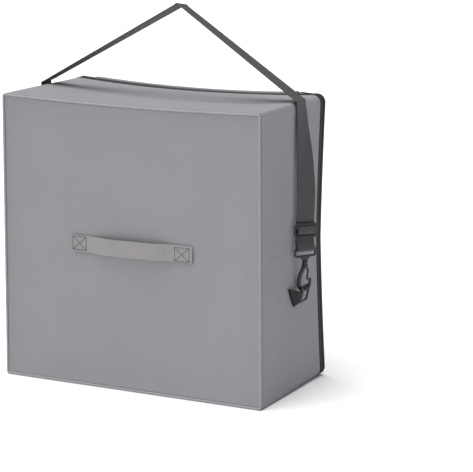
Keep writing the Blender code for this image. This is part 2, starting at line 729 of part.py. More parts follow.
def seat(item, origin, axes):
    """Lays a piece drawn in its own plane at a place, by its width, up and outward directions."""
    width, outward, up = axes
    matrix = Matrix(np.column_stack([width, up, outward]).tolist()).to_4x4()
    matrix.translation = Vector(origin)
    item.data.transform(matrix)
    return item


def turned(name, profile, look):
    """A solid of revolution about its own up axis, from (radius, height) pairs from top to bottom."""
    form = bmesh.new()
    verts = [form.verts.new((radius, height, 0.0)) for radius, height in profile]
    for first, second in zip(verts, verts[1:]):
        form.edges.new((first, second))
    mesh = bpy.data.meshes.new(name)
    form.to_mesh(mesh)
    form.free()
    item = add(name, mesh, look)
    screw = item.modifiers.new("turn", "SCREW")
    screw.axis = "Y"
    screw.steps = 12
    screw.render_steps = 12
    screw.use_merge_vertices = True
    screw.merge_threshold = 1e-5
    screw.use_normal_calculate = True
    made = baked(item)
    face_outwards(made.data)
    return made


def build_hook():
    """The right loop, hook and gate, and their twins at the left."""
    bar, down = hook_axis()
    loop_axes = axes_at(HANG[1][3], down)
    hook_axes = axes_at(HOOK_TURN_DEG, down)
    inner = STRAP_WIDTH / 2 + SLOT_SPARE
    outer = inner + LOOP_BAR
    foot = -LOOP_BAR * 1.5 - LOOP_SLOT
    neck_foot = foot - NECK_LENGTH
    shape = [
        (-outer + LOOP_CORNER, LOOP_BAR / 2), (-outer, LOOP_BAR / 2 - LOOP_CORNER),
        (-outer, foot + LOOP_CORNER), (-outer + LOOP_CORNER, foot),
        (-NECK_TOP / 2, foot - LOOP_CORNER / 2), (-NECK_FOOT / 2, neck_foot),
    ]
    shape = shape + [(-across, up) for across, up in reversed(shape)]
    slot = oblong(inner, -LOOP_BAR / 2 - LOOP_SLOT, -LOOP_BAR / 2, SLOT_CORNER)
    loop = plate("hook_loop_right", shape, [slot], LOOP_THICKNESS, BLACK_PLASTIC)
    barrel_top = neck_foot + BARREL_LAP
    barrel_foot = barrel_top - BARREL_LENGTH
    barrel = turned(
        "barrel",
        [(0.0, barrel_top), (BARREL_RADIUS - BARREL_CHAMFER, barrel_top),
         (BARREL_RADIUS, barrel_top - BARREL_CHAMFER), (BARREL_RADIUS, barrel_foot), (0.0, barrel_foot)],
        BLACK_PLASTIC,
    )
    loop = seat(joined(loop, barrel), bar, loop_axes)
    head_top = barrel_foot - CLEARANCE
    head_foot = head_top - HEAD_LENGTH
    head = turned(
        "head",
        [(0.0, head_top), (HEAD_RADIUS, head_top), (HEAD_RADIUS, head_foot), (0.0, head_foot)],
        BLACK_PLASTIC,
    )
    bend = head_top - HOOK_LENGTH
    points = [(side * HOOK_HALF, bend + rise * HOOK_LENGTH, 0.0) for side, rise, _ in HOOK_LINE]
    radii = [thick * HOOK_WIRE for *_, thick in HOOK_LINE]
    hook = baked(tube("hook_body_right", points, HOOK_WIRE, BLACK_PLASTIC, radii=radii))
    hook = seat(joined(hook, head), bar, hook_axes)
    tip_side, tip_rise, tip_thick = HOOK_LINE[-1]
    tip_top = bend + tip_rise * HOOK_LENGTH
    gate_side = tip_side * HOOK_HALF - tip_thick * HOOK_WIRE - CLEARANCE - GATE_WIRE * 1.15
    gate_top = head_foot - GATE_GAP
    pivot_side = 0.50 * HOOK_HALF
    drop = gate_top - tip_top
    gate_points = [
        (pivot_side, gate_top, 0.0), (pivot_side + 0.08 * HOOK_HALF, gate_top - 0.4 * drop, 0.0),
        (gate_side + CLEARANCE, gate_top - 0.8 * drop, 0.0), (gate_side, gate_top - 1.25 * drop, 0.0),
    ]
    gate = baked(tube("hook_gate_right", gate_points, GATE_WIRE, BLACK_PLASTIC))
    gate = seat(gate, bar, hook_axes)
    width, outward, up = hook_axes
    pivot = bar + pivot_side * width + gate_top * up
    turned_about(gate, pivot)
    turned_about(hook, bar + head_top * up)
    for piece in (loop, hook, gate):
        mirrored(piece, piece.name.replace("right", "left"))
    return bar + (bend + HOOK_WIRE + 2 * CLEARANCE + RING_WIRE) * up + EYE_SIDE * width


def build_adjuster():
    """The three-bar slide on the right run of the strap."""
    spot, width, outward = hang(HOOK_HEIGHT + SLIDE_ABOVE_BAR)
    half_slot = STRAP_WIDTH / 2 + SLOT_SPARE
    outer = oblong(SLIDE_WIDTH / 2, -SLIDE_HEIGHT / 2, SLIDE_HEIGHT / 2, SLIDE_CORNER)
    low = oblong(half_slot, -SLIDE_BAR / 2 - SLIDE_SLOT, -SLIDE_BAR / 2, SLOT_CORNER)
    high = oblong(half_slot, SLIDE_BAR / 2, SLIDE_BAR / 2 + SLIDE_SLOT, SLOT_CORNER)
    item = plate("strap_adjuster", outer, [low, high], SLIDE_THICKNESS, BLACK_PLASTIC)
    seat(item, spot, (width, outward, np.array([0.0, 0.0, 1.0])))


def side_surface(y, z):
    """X of the right wall's outer face."""
    point = np.stack(np.broadcast_arrays(BAG_WIDTH / 2, y, z), axis=-1)
    return settled(point)[..., 0]


def build_ring(eye):
    """A square ring that the hook holds by its upper bar, and the folded tab that carries its front bar."""
    foot_height = HOOK_HEIGHT - RING_FOOT_BELOW
    foot_x = side_surface(eye[1], foot_height) + RING_FOOT_OUT + RING_WIRE + TAB_THICKNESS
    foot = np.array([foot_x, eye[1], foot_height])
    rise = np.array([eye[0], eye[1], eye[2]]) - foot
    height = np.linalg.norm(rise)
    up = rise / height
    back = np.array([0.0, 1.0, 0.0])
    corners = (
        (-RING_FORE, 0.0, 1, 1, 180), (RING_WIDTH - RING_FORE, 0.0, -1, 1, 270),
        (RING_WIDTH - RING_FORE, height, -1, -1, 0), (-RING_FORE, height, 1, -1, 90),
    )
    points = []
    for along, over, inwards, upwards, start_deg in corners:
        for angle in np.radians(np.linspace(start_deg, start_deg + 90, 4)):
            y = along + RING_CORNER * (inwards + math.cos(angle))
            z = over + RING_CORNER * (upwards + math.sin(angle))
            points.append(foot + y * back + z * up)
    ring = baked(tube("ring_right", points, RING_WIRE, DARK_METAL, closed=True))
    mirrored(ring, "ring_left")
    wrap = RING_WIRE + CLEARANCE + TAB_THICKNESS / 2
    low, high = RING_CORNER + TAB_FOOT_GAP, height - RING_CORNER - TAB_HEAD_GAP
    columns = []
    lie = 2 * CLEARANCE + TAB_THICKNESS / 2
    layer = TAB_THICKNESS + CLEARANCE
    shares = (0.0, 0.25, 0.5, 0.75)
    for row in np.linspace(0.0, 1.0, 4):
        bar = foot - RING_FORE * back + (low + row * (high - low)) * up
        sewn_z = bar[2] + (row - 0.5) * (TAB_SEWN_HEIGHT - (high - low))
        sewn_y = bar[1] - TAB_LENGTH - (row - 0.5) * TAB_LEAN
        reach = bar[1] - RING_WIRE - CLEARANCE - sewn_y
        line = []
        for share in shares:
            y = sewn_y + share * reach
            z = sewn_z + share * (bar[2] - sewn_z)
            out = side_surface(y, z) + lie
            line.append([out + smooth((share - 0.2) / 0.8) * max(bar[0] - wrap - out, 0.0), y, z])
        for angle in np.radians(np.linspace(-90, 90, 7)):
            line.append([bar[0] + wrap * math.sin(angle), bar[1] + wrap * math.cos(angle), bar[2]])
        for share in reversed(shares):
            y = sewn_y + share * reach
            z = sewn_z + share * (bar[2] - sewn_z)
            out = side_surface(y, z) + lie + layer
            line.append([out + smooth(share / 0.95) * (bar[0] + wrap - out), y, z])
        columns.append(line)
    middle = np.array(columns).transpose(1, 0, 2)
    tab = baked(sheet("ring_tab_right", middle, TAB_THICKNESS, BLACK_TAPE))
    face_outwards(tab.data)
    mirrored(tab, "ring_tab_left")


def build():
    clear_scene()
    for name, side in (("bottom_wall", 0), ("right_wall", 1), ("top_wall", 2), ("left_wall", 3)):
        build_wall(name, side)
    build_front()
    build_zip()
    build_lid()
    build_window()
    build_handle()
    build_elastics()
    eye = build_hook()
    build_adjuster()
    build_ring(eye)
    build_strap()


build()
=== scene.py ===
import math

import bpy
import numpy as np
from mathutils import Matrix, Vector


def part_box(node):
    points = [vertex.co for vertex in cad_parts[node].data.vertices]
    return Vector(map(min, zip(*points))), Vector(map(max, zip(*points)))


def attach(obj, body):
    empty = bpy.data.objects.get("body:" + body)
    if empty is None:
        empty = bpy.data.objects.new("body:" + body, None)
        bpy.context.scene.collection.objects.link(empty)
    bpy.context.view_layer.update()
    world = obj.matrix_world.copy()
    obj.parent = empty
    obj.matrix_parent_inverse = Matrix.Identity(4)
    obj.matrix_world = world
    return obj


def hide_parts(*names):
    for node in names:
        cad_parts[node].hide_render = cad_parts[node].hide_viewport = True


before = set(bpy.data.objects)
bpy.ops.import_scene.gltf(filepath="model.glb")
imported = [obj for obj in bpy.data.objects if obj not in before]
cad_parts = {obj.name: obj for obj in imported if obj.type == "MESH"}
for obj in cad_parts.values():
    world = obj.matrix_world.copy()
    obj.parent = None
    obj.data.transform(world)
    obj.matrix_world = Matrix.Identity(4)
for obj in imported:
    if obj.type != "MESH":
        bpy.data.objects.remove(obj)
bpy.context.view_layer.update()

# The box and how its cloth has settled
BAG_WIDTH = 0.430
BAG_HEIGHT = 0.430
BAG_DEPTH = 0.2165
FRAME_SHIFT = 0.0045
WALL = 0.0025
PIPING = 0.0036
FRONT_CORNER = 0.0048
REAR_CORNER = 0.0140
FLARE = 0.0065
CLEARANCE = 0.0003
SIDE_FOLD = 0.0050
REAR_BOW = 0.0070
FRONT_SAG = 0.0040
REAR_SAG = 0.0090
TOP_CREASE = 0.0016
PANEL_DISH = 0.0040
LID_DISH = 0.0060

# The zip and the lid
TAPE_WIDTH = 0.0066
TAPE_THICKNESS = 0.0012
CHAIN_WIDTH = 0.0034
WRAP_LEFT = 0.0200
WRAP_RIGHT = 0.0340
LID_RIM = 0.0048
LID_RIM_RISE = 0.0010
TOOTH_PITCH = 0.0019

# The window in the base
WINDOW_WIDTH = 0.130
WINDOW_DEPTH = 0.120
WINDOW_BACK = -0.004
FILM = 0.0008
FILM_LAP = 0.008

# The grab handle
HANDLE_LENGTH = 0.201
HANDLE_WIDTH = 0.025
HANDLE_THICKNESS = 0.0020
HANDLE_SEWN = 0.025
HANDLE_BOW = 0.0090
HANDLE_HEIGHT = 0.2155
HANDLE_SIDE = 0.0030

# Elastic straps inside
ELASTIC_WIDTH = 0.030
ELASTIC_THICKNESS = 0.0012
ELASTIC_APART = 0.200
ELASTIC_OFF_PANEL = 0.012

# The shoulder strap
STRAP_WIDTH = 0.028
STRAP_THICKNESS = 0.0015
STRAP_BACK = 0.0235
APEX_SIDE = 0.0200
APEX_HEIGHT = 0.5610
APEX_TILT_DEG = 10.0
BAR_LIFT = 0.0020
SLOT_SPARE = 0.0006
RUN_SHARES = (0.930, 0.841, 0.738, 0.636, 0.533)
RUN_FOOT = 0.440
SHOULDER_DROPS = (0.0070, 0.0030)
SHOULDER_BEND = 0.0005

# The snap hooks, their loops and the adjuster
HOOK_OUT = 0.0125
HOOK_BACK = 0.0165
HOOK_HEIGHT = 0.2160
HOOK_DOWN = (-0.0040, 0.0055, -0.0600)
HOOK_TURN_DEG = 50.0
LOOP_BAR = 0.0032
SEWN_TAIL = 0.0370
LOOP_SLOT = 0.0085
LOOP_THICKNESS = 0.0032
NECK_TOP = 0.0150
NECK_FOOT = 0.0070
NECK_LENGTH = 0.0075
BARREL_RADIUS = 0.0042
BARREL_LENGTH = 0.0060
BARREL_LAP = 0.0025
HEAD_RADIUS = 0.0046
HEAD_LENGTH = 0.0047
HOOK_LENGTH = 0.0385
HOOK_HALF = 0.0082
HOOK_WIRE = 0.0029
GATE_WIRE = 0.0016
GATE_GAP = 0.0007
EYE_SIDE = 0.0010
SLIDE_WIDTH = 0.0360
SLIDE_HEIGHT = 0.0230
SLIDE_SLOT = 0.0052
SLIDE_BAR = 0.0032
SLIDE_THICKNESS = 0.0030
SLIDE_WRAP = 0.0030
SLIDE_ABOVE_BAR = 0.0270

# The rings and their tabs
RING_WIRE = 0.0017
RING_WIDTH = 0.0250
RING_CORNER = 0.0035
RING_FORE = 0.0080
RING_FOOT_OUT = 0.0025
RING_FOOT_BELOW = 0.0825
TAB_THICKNESS = 0.0015
TAB_LENGTH = 0.0165
TAB_SEWN_HEIGHT = 0.0300
TAB_LEAN = 0.0160
TAB_FOOT_GAP = 0.0004
TAB_HEAD_GAP = 0.0044

# Stitches: length, gap and thread radius
SEAM_STITCH = (0.0030, 0.0012, 0.00035)
TAPE_STITCH = (0.0028, 0.0010, 0.00028)
HANDLE_STITCH = (0.0026, 0.0006, 0.00050)
STRAP_STITCH = (0.0026, 0.0008, 0.00035)
TAB_STITCH = (0.0024, 0.0008, 0.00032)
WINDOW_STITCH = (0.003, 0.0012, 0.0003)
THREAD_PROUD = 0.0001
BEAD_GRID = 6
TOOTH_RING = 6
TOOTH_STEPS = 5
CHAIN_BED = 0.0004

# The studio
FLOOR_REACH = 14.0
FLOOR_DROP = 0.0004
FLOOR_WHITE = (0.86, 0.86, 0.86, 1.0)
FLOOR_ROUGHNESS = 0.9
SKY = (0.97, 0.98, 1.0, 1.0)
SKY_STRENGTH = 0.42
PHOTO_WIDTH = 473.0
FOCAL_PIXELS = 2220.7
SENSOR_WIDTH = 36.0
CAMERA_PLACE = (1.584, -2.841 + FRAME_SHIFT, 0.920)
CAMERA_PITCH = 12.25
CAMERA_TURN = 27.25

FRONT_Y = FRAME_SHIFT - BAG_DEPTH / 2
REAR_Y = FRAME_SHIFT + BAG_DEPTH / 2
ZIP_BAND = 2 * TAPE_WIDTH + CHAIN_WIDTH + 2 * CLEARANCE
BAND_Y = REAR_Y - ZIP_BAND
WALL_FRONT_Y = FRONT_Y + PIPING + CLEARANCE


# ---------------------------------------------------------------- shader effects

def effect(name, inputs, outputs):
    """A shared look as a node group: its tree, and the sockets that come in."""
    tree = bpy.data.node_groups.new(name, "ShaderNodeTree")
    for label, kind, value in inputs:
        socket = tree.interface.new_socket(label, in_out="INPUT", socket_type="NodeSocket" + kind)
        if value is not None:
            socket.default_value = value
    for label, kind in outputs:
        tree.interface.new_socket(label, in_out="OUTPUT", socket_type="NodeSocket" + kind)
    return tree, tree.nodes.new("NodeGroupInput").outputs, tree.nodes.new("NodeGroupOutput").inputs


def sum_of(tree, operation, *values):
    """One arithmetic step in a node tree. A value is a number or a socket."""
    node = tree.nodes.new("ShaderNodeMath")
    node.operation = operation
    for i, value in enumerate(values):
        if isinstance(value, bpy.types.NodeSocket):
            tree.links.new(value, node.inputs[i])
        else:
            node.inputs[i].default_value = value
    return node.outputs[0]


def split(tree, vector):
    node = tree.nodes.new("ShaderNodeSeparateXYZ")
    tree.links.new(vector, node.inputs[0])
    return node.outputs[0], node.outputs[1]


def weave_effect():
    """Plain weave: squares in a chessboard, each showing the round back of a warp or of a weft thread."""
    tree, given, wanted = effect(
        "plain weave",
        [("Place", "Vector", None), ("Thread", "Float", 0.0006)],
        [("Height", "Float"), ("Shade", "Float")],
    )
    u, v = split(tree, given["Place"])
    a = sum_of(tree, "DIVIDE", u, given["Thread"])
    b = sum_of(tree, "DIVIDE", v, given["Thread"])
    chess = sum_of(tree, "MODULO", sum_of(tree, "ADD", sum_of(tree, "FLOOR", a),
                                          sum_of(tree, "FLOOR", b)), 2.0)
    chess = sum_of(tree, "ABSOLUTE", chess)
    warp = sum_of(tree, "ABSOLUTE", sum_of(tree, "SINE", sum_of(tree, "MULTIPLY", a, math.pi)))
    weft = sum_of(tree, "ABSOLUTE", sum_of(tree, "SINE", sum_of(tree, "MULTIPLY", b, math.pi)))
    over = sum_of(tree, "MULTIPLY", warp, chess)
    under = sum_of(tree, "MULTIPLY", weft, sum_of(tree, "SUBTRACT", 1.0, chess))
    height = sum_of(tree, "ADD", over, under)
    tree.links.new(height, wanted["Height"])
    # Painted light and shade: the thread crowns are painted lighter and the dips between the threads darker.
    tree.links.new(sum_of(tree, "MULTIPLY_ADD", height, 0.16, 0.90), wanted["Shade"])
    return tree


def rib_effect():
    """Webbing: crosswise ribs of a coarse pitch, each broken up by fine lengthwise yarns, with painted shade in the
    grooves between the ribs.
    """
    tree, given, wanted = effect(
        "webbing ribs",
        [("Place", "Vector", None), ("Rib", "Float", 0.0016), ("Yarn", "Float", 0.0009),
         ("Depth", "Float", 0.3)],
        [("Height", "Float"), ("Shade", "Float")],
    )
    along, across = split(tree, given["Place"])
    row = sum_of(tree, "DIVIDE", along, given["Rib"])
    yarn = sum_of(tree, "DIVIDE", across, given["Yarn"])
    stagger = sum_of(tree, "MULTIPLY", sum_of(tree, "MODULO", sum_of(tree, "FLOOR", yarn), 2.0), 0.5)
    wave = sum_of(tree, "SINE", sum_of(tree, "MULTIPLY", sum_of(tree, "ADD", row, stagger), 2 * math.pi))
    bar = sum_of(tree, "SINE", sum_of(tree, "MULTIPLY", row, math.pi))
    bar = sum_of(tree, "MULTIPLY", bar, bar)
    fine = sum_of(tree, "ABSOLUTE", sum_of(tree, "SINE", sum_of(tree, "MULTIPLY", yarn, math.pi)))
    height = sum_of(tree, "ADD", sum_of(tree, "MULTIPLY_ADD", wave, 0.25, 0.25),
                    sum_of(tree, "MULTIPLY", fine, 0.5))
    tree.links.new(sum_of(tree, "ADD", height, bar), wanted["Height"])
    # Painted shade: the grooves between the ribs are painted darker, by the amount each material gives.
    dark = sum_of(tree, "MULTIPLY", sum_of(tree, "SUBTRACT", 1.0, bar), given["Depth"])
    tree.links.new(sum_of(tree, "SUBTRACT", 1.05, dark), wanted["Shade"])
    return tree


def mottle_effect():
    """Soft unevenness: how far handling and folding have lightened or darkened a place."""
    tree, given, wanted = effect(
        "soft mottle",
        [("Place", "Vector", None), ("Size", "Float", 0.08), ("Amount", "Float", 0.06)],
        [("Shade", "Float"), ("Height", "Float")],
    )
    noise = tree.nodes.new("ShaderNodeTexNoise")
    noise.noise_dimensions = "3D"
    noise.inputs["Detail"].default_value = 4.0
    noise.inputs["Roughness"].default_value = 0.5
    tree.links.new(given["Place"], noise.inputs["Vector"])
    tree.links.new(sum_of(tree, "DIVIDE", 1.0, given["Size"]), noise.inputs["Scale"])
    centred = sum_of(tree, "SUBTRACT", noise.outputs[0], 0.5)
    tree.links.new(sum_of(tree, "MULTIPLY_ADD", centred, given["Amount"], 1.0), wanted["Shade"])
    tree.links.new(centred, wanted["Height"])
    return tree


WEAVE = weave_effect()
RIBS = rib_effect()
MOTTLE = mottle_effect()


def use(tree, group, place, **numbers):
    """One of the shared effects in a material, fed with its place and its numbers."""
    node = tree.nodes.new("ShaderNodeGroup")
    node.node_tree = group
    tree.links.new(place, node.inputs["Place"])
    for label, value in numbers.items():
        node.inputs[label].default_value = value
    return node.outputs


def look(name, colour, roughness, texture=None, bump=0.0002, mottled=0.08, blotch=0.09, metallic=0.0,
         sheen=0.0,
         alpha=1.0, coat=0.0, **numbers):
    """A material: one colour, varied by a weave or ribs (with painted shade in their dips) and by soft mottling,
    with a bump.
    """
    made = bpy.data.materials.new(name)
    made.use_nodes = True
    tree = made.node_tree
    shader = tree.nodes["Principled BSDF"]
    shader.inputs["Roughness"].default_value = roughness
    shader.inputs["Metallic"].default_value = metallic
    shader.inputs["Alpha"].default_value = alpha
    shader.inputs["Coat Weight"].default_value = coat
    shader.inputs["Sheen Weight"].default_value = sheen
    spot = tree.nodes.new("ShaderNodeTexCoord")
    worn = use(tree, MOTTLE, spot.outputs["Object"], Size=blotch, Amount=mottled)
    shade, height = worn["Shade"], worn["Height"]
    if texture:
        cloth = use(tree, texture, spot.outputs["UV"], **numbers)
        # The weave or rib shade paints the dips between threads or ribs darker: painted shade.
        shade = sum_of(tree, "MULTIPLY", shade, cloth["Shade"])
        height = cloth["Height"]
    tint = tree.nodes.new("ShaderNodeVectorMath")
    tint.operation = "SCALE"
    tint.inputs[0].default_value = colour
    tree.links.new(shade, tint.inputs["Scale"])
    tree.links.new(tint.outputs[0], shader.inputs["Base Color"])
    relief = tree.nodes.new("ShaderNodeBump")
    relief.inputs["Distance"].default_value = bump
    relief.inputs["Strength"].default_value = 0.6
    tree.links.new(height, relief.inputs["Height"])
    tree.links.new(relief.outputs[0], shader.inputs["Normal"])
    return made


CLOTH = look("grey cloth", (0.225, 0.230, 0.240), 0.62, WEAVE, bump=0.00012, mottled=0.10, Thread=0.0007)
SIDE_CLOTH = look("grey side cloth", (0.225, 0.223, 0.245), 0.66, WEAVE, bump=0.00012, mottled=0.10,
                  Thread=0.0007)
# The seam cloth is the panels' grey cloth painted about a fifth lighter: a painted highlight on the raised seam and
# rim ridges.
SEAM_CLOTH_PAINTED_LIGHTER = look("turned seam", (0.27, 0.272, 0.285), 0.66, WEAVE, bump=0.00015, mottled=0.12, blotch=0.02,
                  Thread=0.0008)
BLACK_TAPE = look("black tape", (0.0105, 0.0105, 0.0120), 0.74, RIBS, bump=0.0002, blotch=0.02, Rib=0.0011,
                  Yarn=0.0011, Depth=0.2)
COIL = look("zip coil", (0.014, 0.014, 0.016), 0.42, bump=0.00005, blotch=0.004)
HANDLE_WEB = look("handle webbing", (0.262, 0.252, 0.250), 0.80, RIBS, bump=0.0003, blotch=0.03, Rib=0.0022,
                  Yarn=0.0010, Depth=0.16)
STRAP_WEB = look("strap webbing", (0.052, 0.052, 0.055), 0.62, RIBS, bump=0.0004, blotch=0.03, Rib=0.0032,
                 Yarn=0.0013, Depth=0.38)
TAB_WEB = look("tab webbing", (0.012, 0.010, 0.014), 0.75, RIBS, bump=0.0003, blotch=0.01, Rib=0.0020,
               Yarn=0.0011, Depth=0.25)
ELASTIC = look("elastic", (0.50, 0.50, 0.51), 0.8, RIBS, bump=0.0003, blotch=0.03, Rib=0.0016, Yarn=0.0020,
               Depth=0.25)
PLASTIC = look("black plastic", (0.010, 0.010, 0.011), 0.38, bump=0.00003, mottled=0.25, blotch=0.0012)
METAL = look("coated ring wire", (0.035, 0.035, 0.040), 0.36, bump=0.00003, mottled=0.25, blotch=0.002,
             metallic=0.6)
FILM_LOOK = look("clear film", (0.80, 0.84, 0.86), 0.10, bump=0.0004, mottled=0.05, blotch=0.03, alpha=0.28,
                 coat=0.5)
DARK_THREAD = look("dark thread", (0.014, 0.014, 0.016), 0.7, bump=0.0001, mottled=0.3, blotch=0.002)
GREY_THREAD = look("grey thread", (0.24, 0.24, 0.25), 0.7, bump=0.0001, mottled=0.3, blotch=0.002)


# ---------------------------------------------------------------- surfaces

def smooth(value):
    """0 below 0, 1 above 1, and a soft step between."""
    value = np.clip(value, 0.0, 1.0)
    return value * value * (3.0 - 2.0 * value)


def settled(points):
    """Points of the straight box moved as its cloth has settled: the side walls fold in along their middle,
    the top sags between its corners, the zipped edge bows forward and the foot is a little wider."""
    x, y, z = np.moveaxis(np.asarray(points, float), -1, 0)
    across = x / (BAG_WIDTH / 2)
    depth = np.clip((y - FRONT_Y) / BAG_DEPTH, 0.0, 1.0)
    height = z / BAG_HEIGHT
    fold = 1.0 - np.abs(2 * height - 1.0)
    bow = np.clip(1.0 - (2 * height - 1.0) ** 2, 0.0, 1.0)
    between = np.clip(1.0 - across**2, 0.0, 1.0)
    x = x * (1.0 + FLARE * (1.0 - 2 * height)) - across * SIDE_FOLD * fold * smooth(2.2 * depth)
    y = y - REAR_BOW * bow * depth**3
    z = z - smooth((height - 0.75) / 0.25) * between * (FRONT_SAG + (REAR_SAG - FRONT_SAG) * depth)
    return np.stack([x, y, z], axis=-1)


def corner_radius(y):
    depth = np.clip((y - FRONT_Y) / BAG_DEPTH, 0.0, 1.0)
    return FRONT_CORNER + (REAR_CORNER - FRONT_CORNER) * smooth(depth)


def outline(side, code, radius, inset, trim=0.0):
    """X and Z of the box's outline: side 0 is the base, 1 the right, 2 the top, 3 the left.

    On a side, code runs -1..1 along the straight stretch and out to -2 or 2 at the middle of
    the corner, trimmed for a seam there."""
    half_across = np.where(side % 2 == 0, BAG_WIDTH, BAG_HEIGHT) / 2
    bend = radius - inset
    angle = np.clip(np.abs(code) - 1.0, 0.0, 1.0) * (math.pi / 4 - trim / bend)
    along = np.sign(code) * ((half_across - radius) * np.minimum(np.abs(code), 1.0) + bend * np.sin(angle))
    out = np.where(side % 2 == 0, BAG_HEIGHT, BAG_WIDTH) / 2 - inset - bend * (1.0 - np.cos(angle))
    x = np.choose(side, [along, out, -along, -out])
    z = np.choose(side, [-out, along, out, -along]) + BAG_HEIGHT / 2
    return x, z


def side_codes(straight_cells, arc_cells=7):
    arc = np.linspace(1.0, 2.0, arc_cells + 1)
    return np.concatenate([-arc[::-1], np.linspace(-1.0, 1.0, straight_cells + 1)[1:-1], arc])


def waves(a, b, rows):
    """Soft unevenness: a sum of sines over two lengths, in rows of waves per metre, turn and size."""
    total = 0.0
    for count_a, count_b, turn, size in rows:
        total = total + size * np.sin(2 * np.pi * (count_a * a + count_b * b) + turn)
    return total


def shape(name, points, faces, uv, looks, nodes, slot, body="root", sharp=0.7):
    """One finished piece from its points, faces and places on the cloth, turned outwards, on its body."""
    points = np.ascontiguousarray(points, float)
    centre = points.mean(axis=0)
    volume = 0.0
    for block in faces:
        corners = points[block] - centre
        for k in range(1, block.shape[1] - 1):
            volume += np.einsum("ij,ij->", corners[:, 0], np.cross(corners[:, k], corners[:, k + 1]))
    if volume < 0.0:
        faces = [block[:, ::-1] for block in faces]
    mesh = bpy.data.meshes.new(name)
    mesh.from_pydata(points.tolist(), [], [face for block in faces for face in block.tolist()])
    layer = mesh.uv_layers.new(name="cloth")
    order = np.concatenate([block.ravel() for block in faces])
    layer.data.foreach_set("uv", np.ascontiguousarray(uv, float)[order].ravel())
    mesh.polygons.foreach_set("use_smooth", np.ones(len(mesh.polygons), bool))
    mesh.set_sharp_from_angle(angle=sharp)
    mesh.update()
    made = bpy.data.objects.new(name, mesh)
    mesh.materials.append(looks)
    bpy.context.scene.collection.objects.link(made)
    if nodes:
        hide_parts(*nodes)
    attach(made, body)
    return made


def shell(us, vs, place, size, kept=None):
    """A closed sheet from a function of two lengths.

    place(u, v, 0) is its outer face, place(u, v, 1) its inner face, and a rim joins the two
    along every edge of the cells that are kept."""
    u, v = np.meshgrid(us, vs, indexing="ij")
    count = u.size
    points = np.concatenate([place(u, v, 0.0).reshape(-1, 3), place(u, v, 1.0).reshape(-1, 3)])
    uv = np.stack([u * size[0], v * size[1]], axis=-1).reshape(-1, 2)
    index = np.arange(count).reshape(u.shape)
    cells = np.stack([index[:-1, :-1], index[1:, :-1], index[1:, 1:], index[:-1, 1:]], axis=-1)
    kept = np.ones(cells.shape[:2], bool) if kept is None else kept
    framed = np.pad(kept, 1)
    neighbours = (framed[1:-1, :-2], framed[2:, 1:-1], framed[1:-1, 2:], framed[:-2, 1:-1])
    faces = [cells[kept], cells[kept][:, ::-1] + count]
    for k, beside in enumerate(neighbours):
        edge = cells[kept & ~beside]
        a, b = edge[:, k], edge[:, (k + 1) % 4]
        faces.append(np.stack([b, a, a + count, b + count], axis=-1))
    return points, faces, np.concatenate([uv, uv])


def swept(path, section, side, up, closed=False):
    """A closed profile of (side, up) lengths carried along a path: one profile, or one for each station."""
    section = np.broadcast_to(section, (len(path), *np.shape(section)[-2:]))
    points = path[:, None] + section[..., :1] * side[:, None] + section[..., 1:] * up[:, None]
    stations, around = section.shape[:2]
    index = np.arange(stations * around).reshape(stations, around)
    after = np.roll(index, -1, axis=0) if closed else index[1:]
    before = index if closed else index[:-1]
    faces = [np.stack(
        [before, np.roll(before, -1, axis=1), np.roll(after, -1, axis=1), after], axis=-1).reshape(-1, 4)]
    length = np.concatenate([[0.0], np.cumsum(np.linalg.norm(np.diff(path, axis=0), axis=1))])
    girth = np.broadcast_to(section[..., 0], (stations, around))
    uv = np.stack([np.broadcast_to(length[:, None], girth.shape), girth], axis=-1).reshape(-1, 2)
    points = points.reshape(-1, 3)
    if not closed:
        ends = points[index[[0, -1]]].mean(axis=1)
        hub = len(points)
        points = np.concatenate([points, ends])
        uv = np.concatenate([uv, uv[index[[0, -1], 0]]])
        first = np.stack([np.full(around, hub), np.roll(index[0], -1), index[0]], axis=-1)
        last = np.stack([np.full(around, hub + 1), index[-1], np.roll(index[-1], -1)], axis=-1)
        faces += [first, last]
    return points, faces, uv


def together(*forms):
    """Several forms as one set of points, faces and places."""
    points, faces, uv, start = [], [], [], 0
    for some_points, some_faces, some_uv in forms:
        points.append(some_points)
        faces += [block + start for block in some_faces]
        uv.append(some_uv)
        start += len(some_points)
    return np.concatenate(points), faces, np.concatenate(uv)


def flipped(form):
    """The same form for the left side."""
    points, faces, uv = form
    return points * (-1, 1, 1), [block[:, ::-1] for block in faces], uv


def fair(points, cells):
    """A smooth line through the points, each span cut into so many cells (Catmull and Rom's cubic)."""
    points = np.asarray(points, float)
    ends = np.concatenate([[2 * points[0] - points[1]], points, [2 * points[-1] - points[-2]]])
    t = (np.arange(cells) / cells)[None, :, None]
    p0, p1, p2, p3 = (ends[k:len(ends) - 3 + k][:, None] for k in range(4))
    spans = 0.5 * (2 * p1 + (p2 - p0) * t + (2 * p0 - 5 * p1 + 4 * p2 - p3) * t**2
                   + (3 * p1 - p0 - 3 * p2 + p3) * t**3)
    return np.concatenate([spans.reshape(-1, points.shape[1]), points[-1:]])


def unit(vectors):
    return vectors / np.linalg.norm(vectors, axis=-1, keepdims=True)


def frames(path, reference, closed=False):
    """Directions across a path: the side nearest the reference direction, and the one square to it."""
    if closed:
        run = unit(np.roll(path, -1, axis=0) - np.roll(path, 1, axis=0))
    else:
        run = unit(np.gradient(path, axis=0))
    reference = np.broadcast_to(reference, run.shape)
    side = unit(reference - run * np.sum(reference * run, axis=1, keepdims=True))
    return side, np.cross(run, side)


def round_section(radius, count=14, flat=1.0, power=2.0):
    """A closed profile: a circle, or with a higher power a rounded square."""
    angle = 2 * np.pi * np.arange(count) / count
    a, b = np.cos(angle), np.sin(angle)
    return np.stack([np.sign(a) * np.abs(a) ** (2 / power), flat * np.sign(b) * np.abs(b) ** (2 / power)],
                    -1) * radius


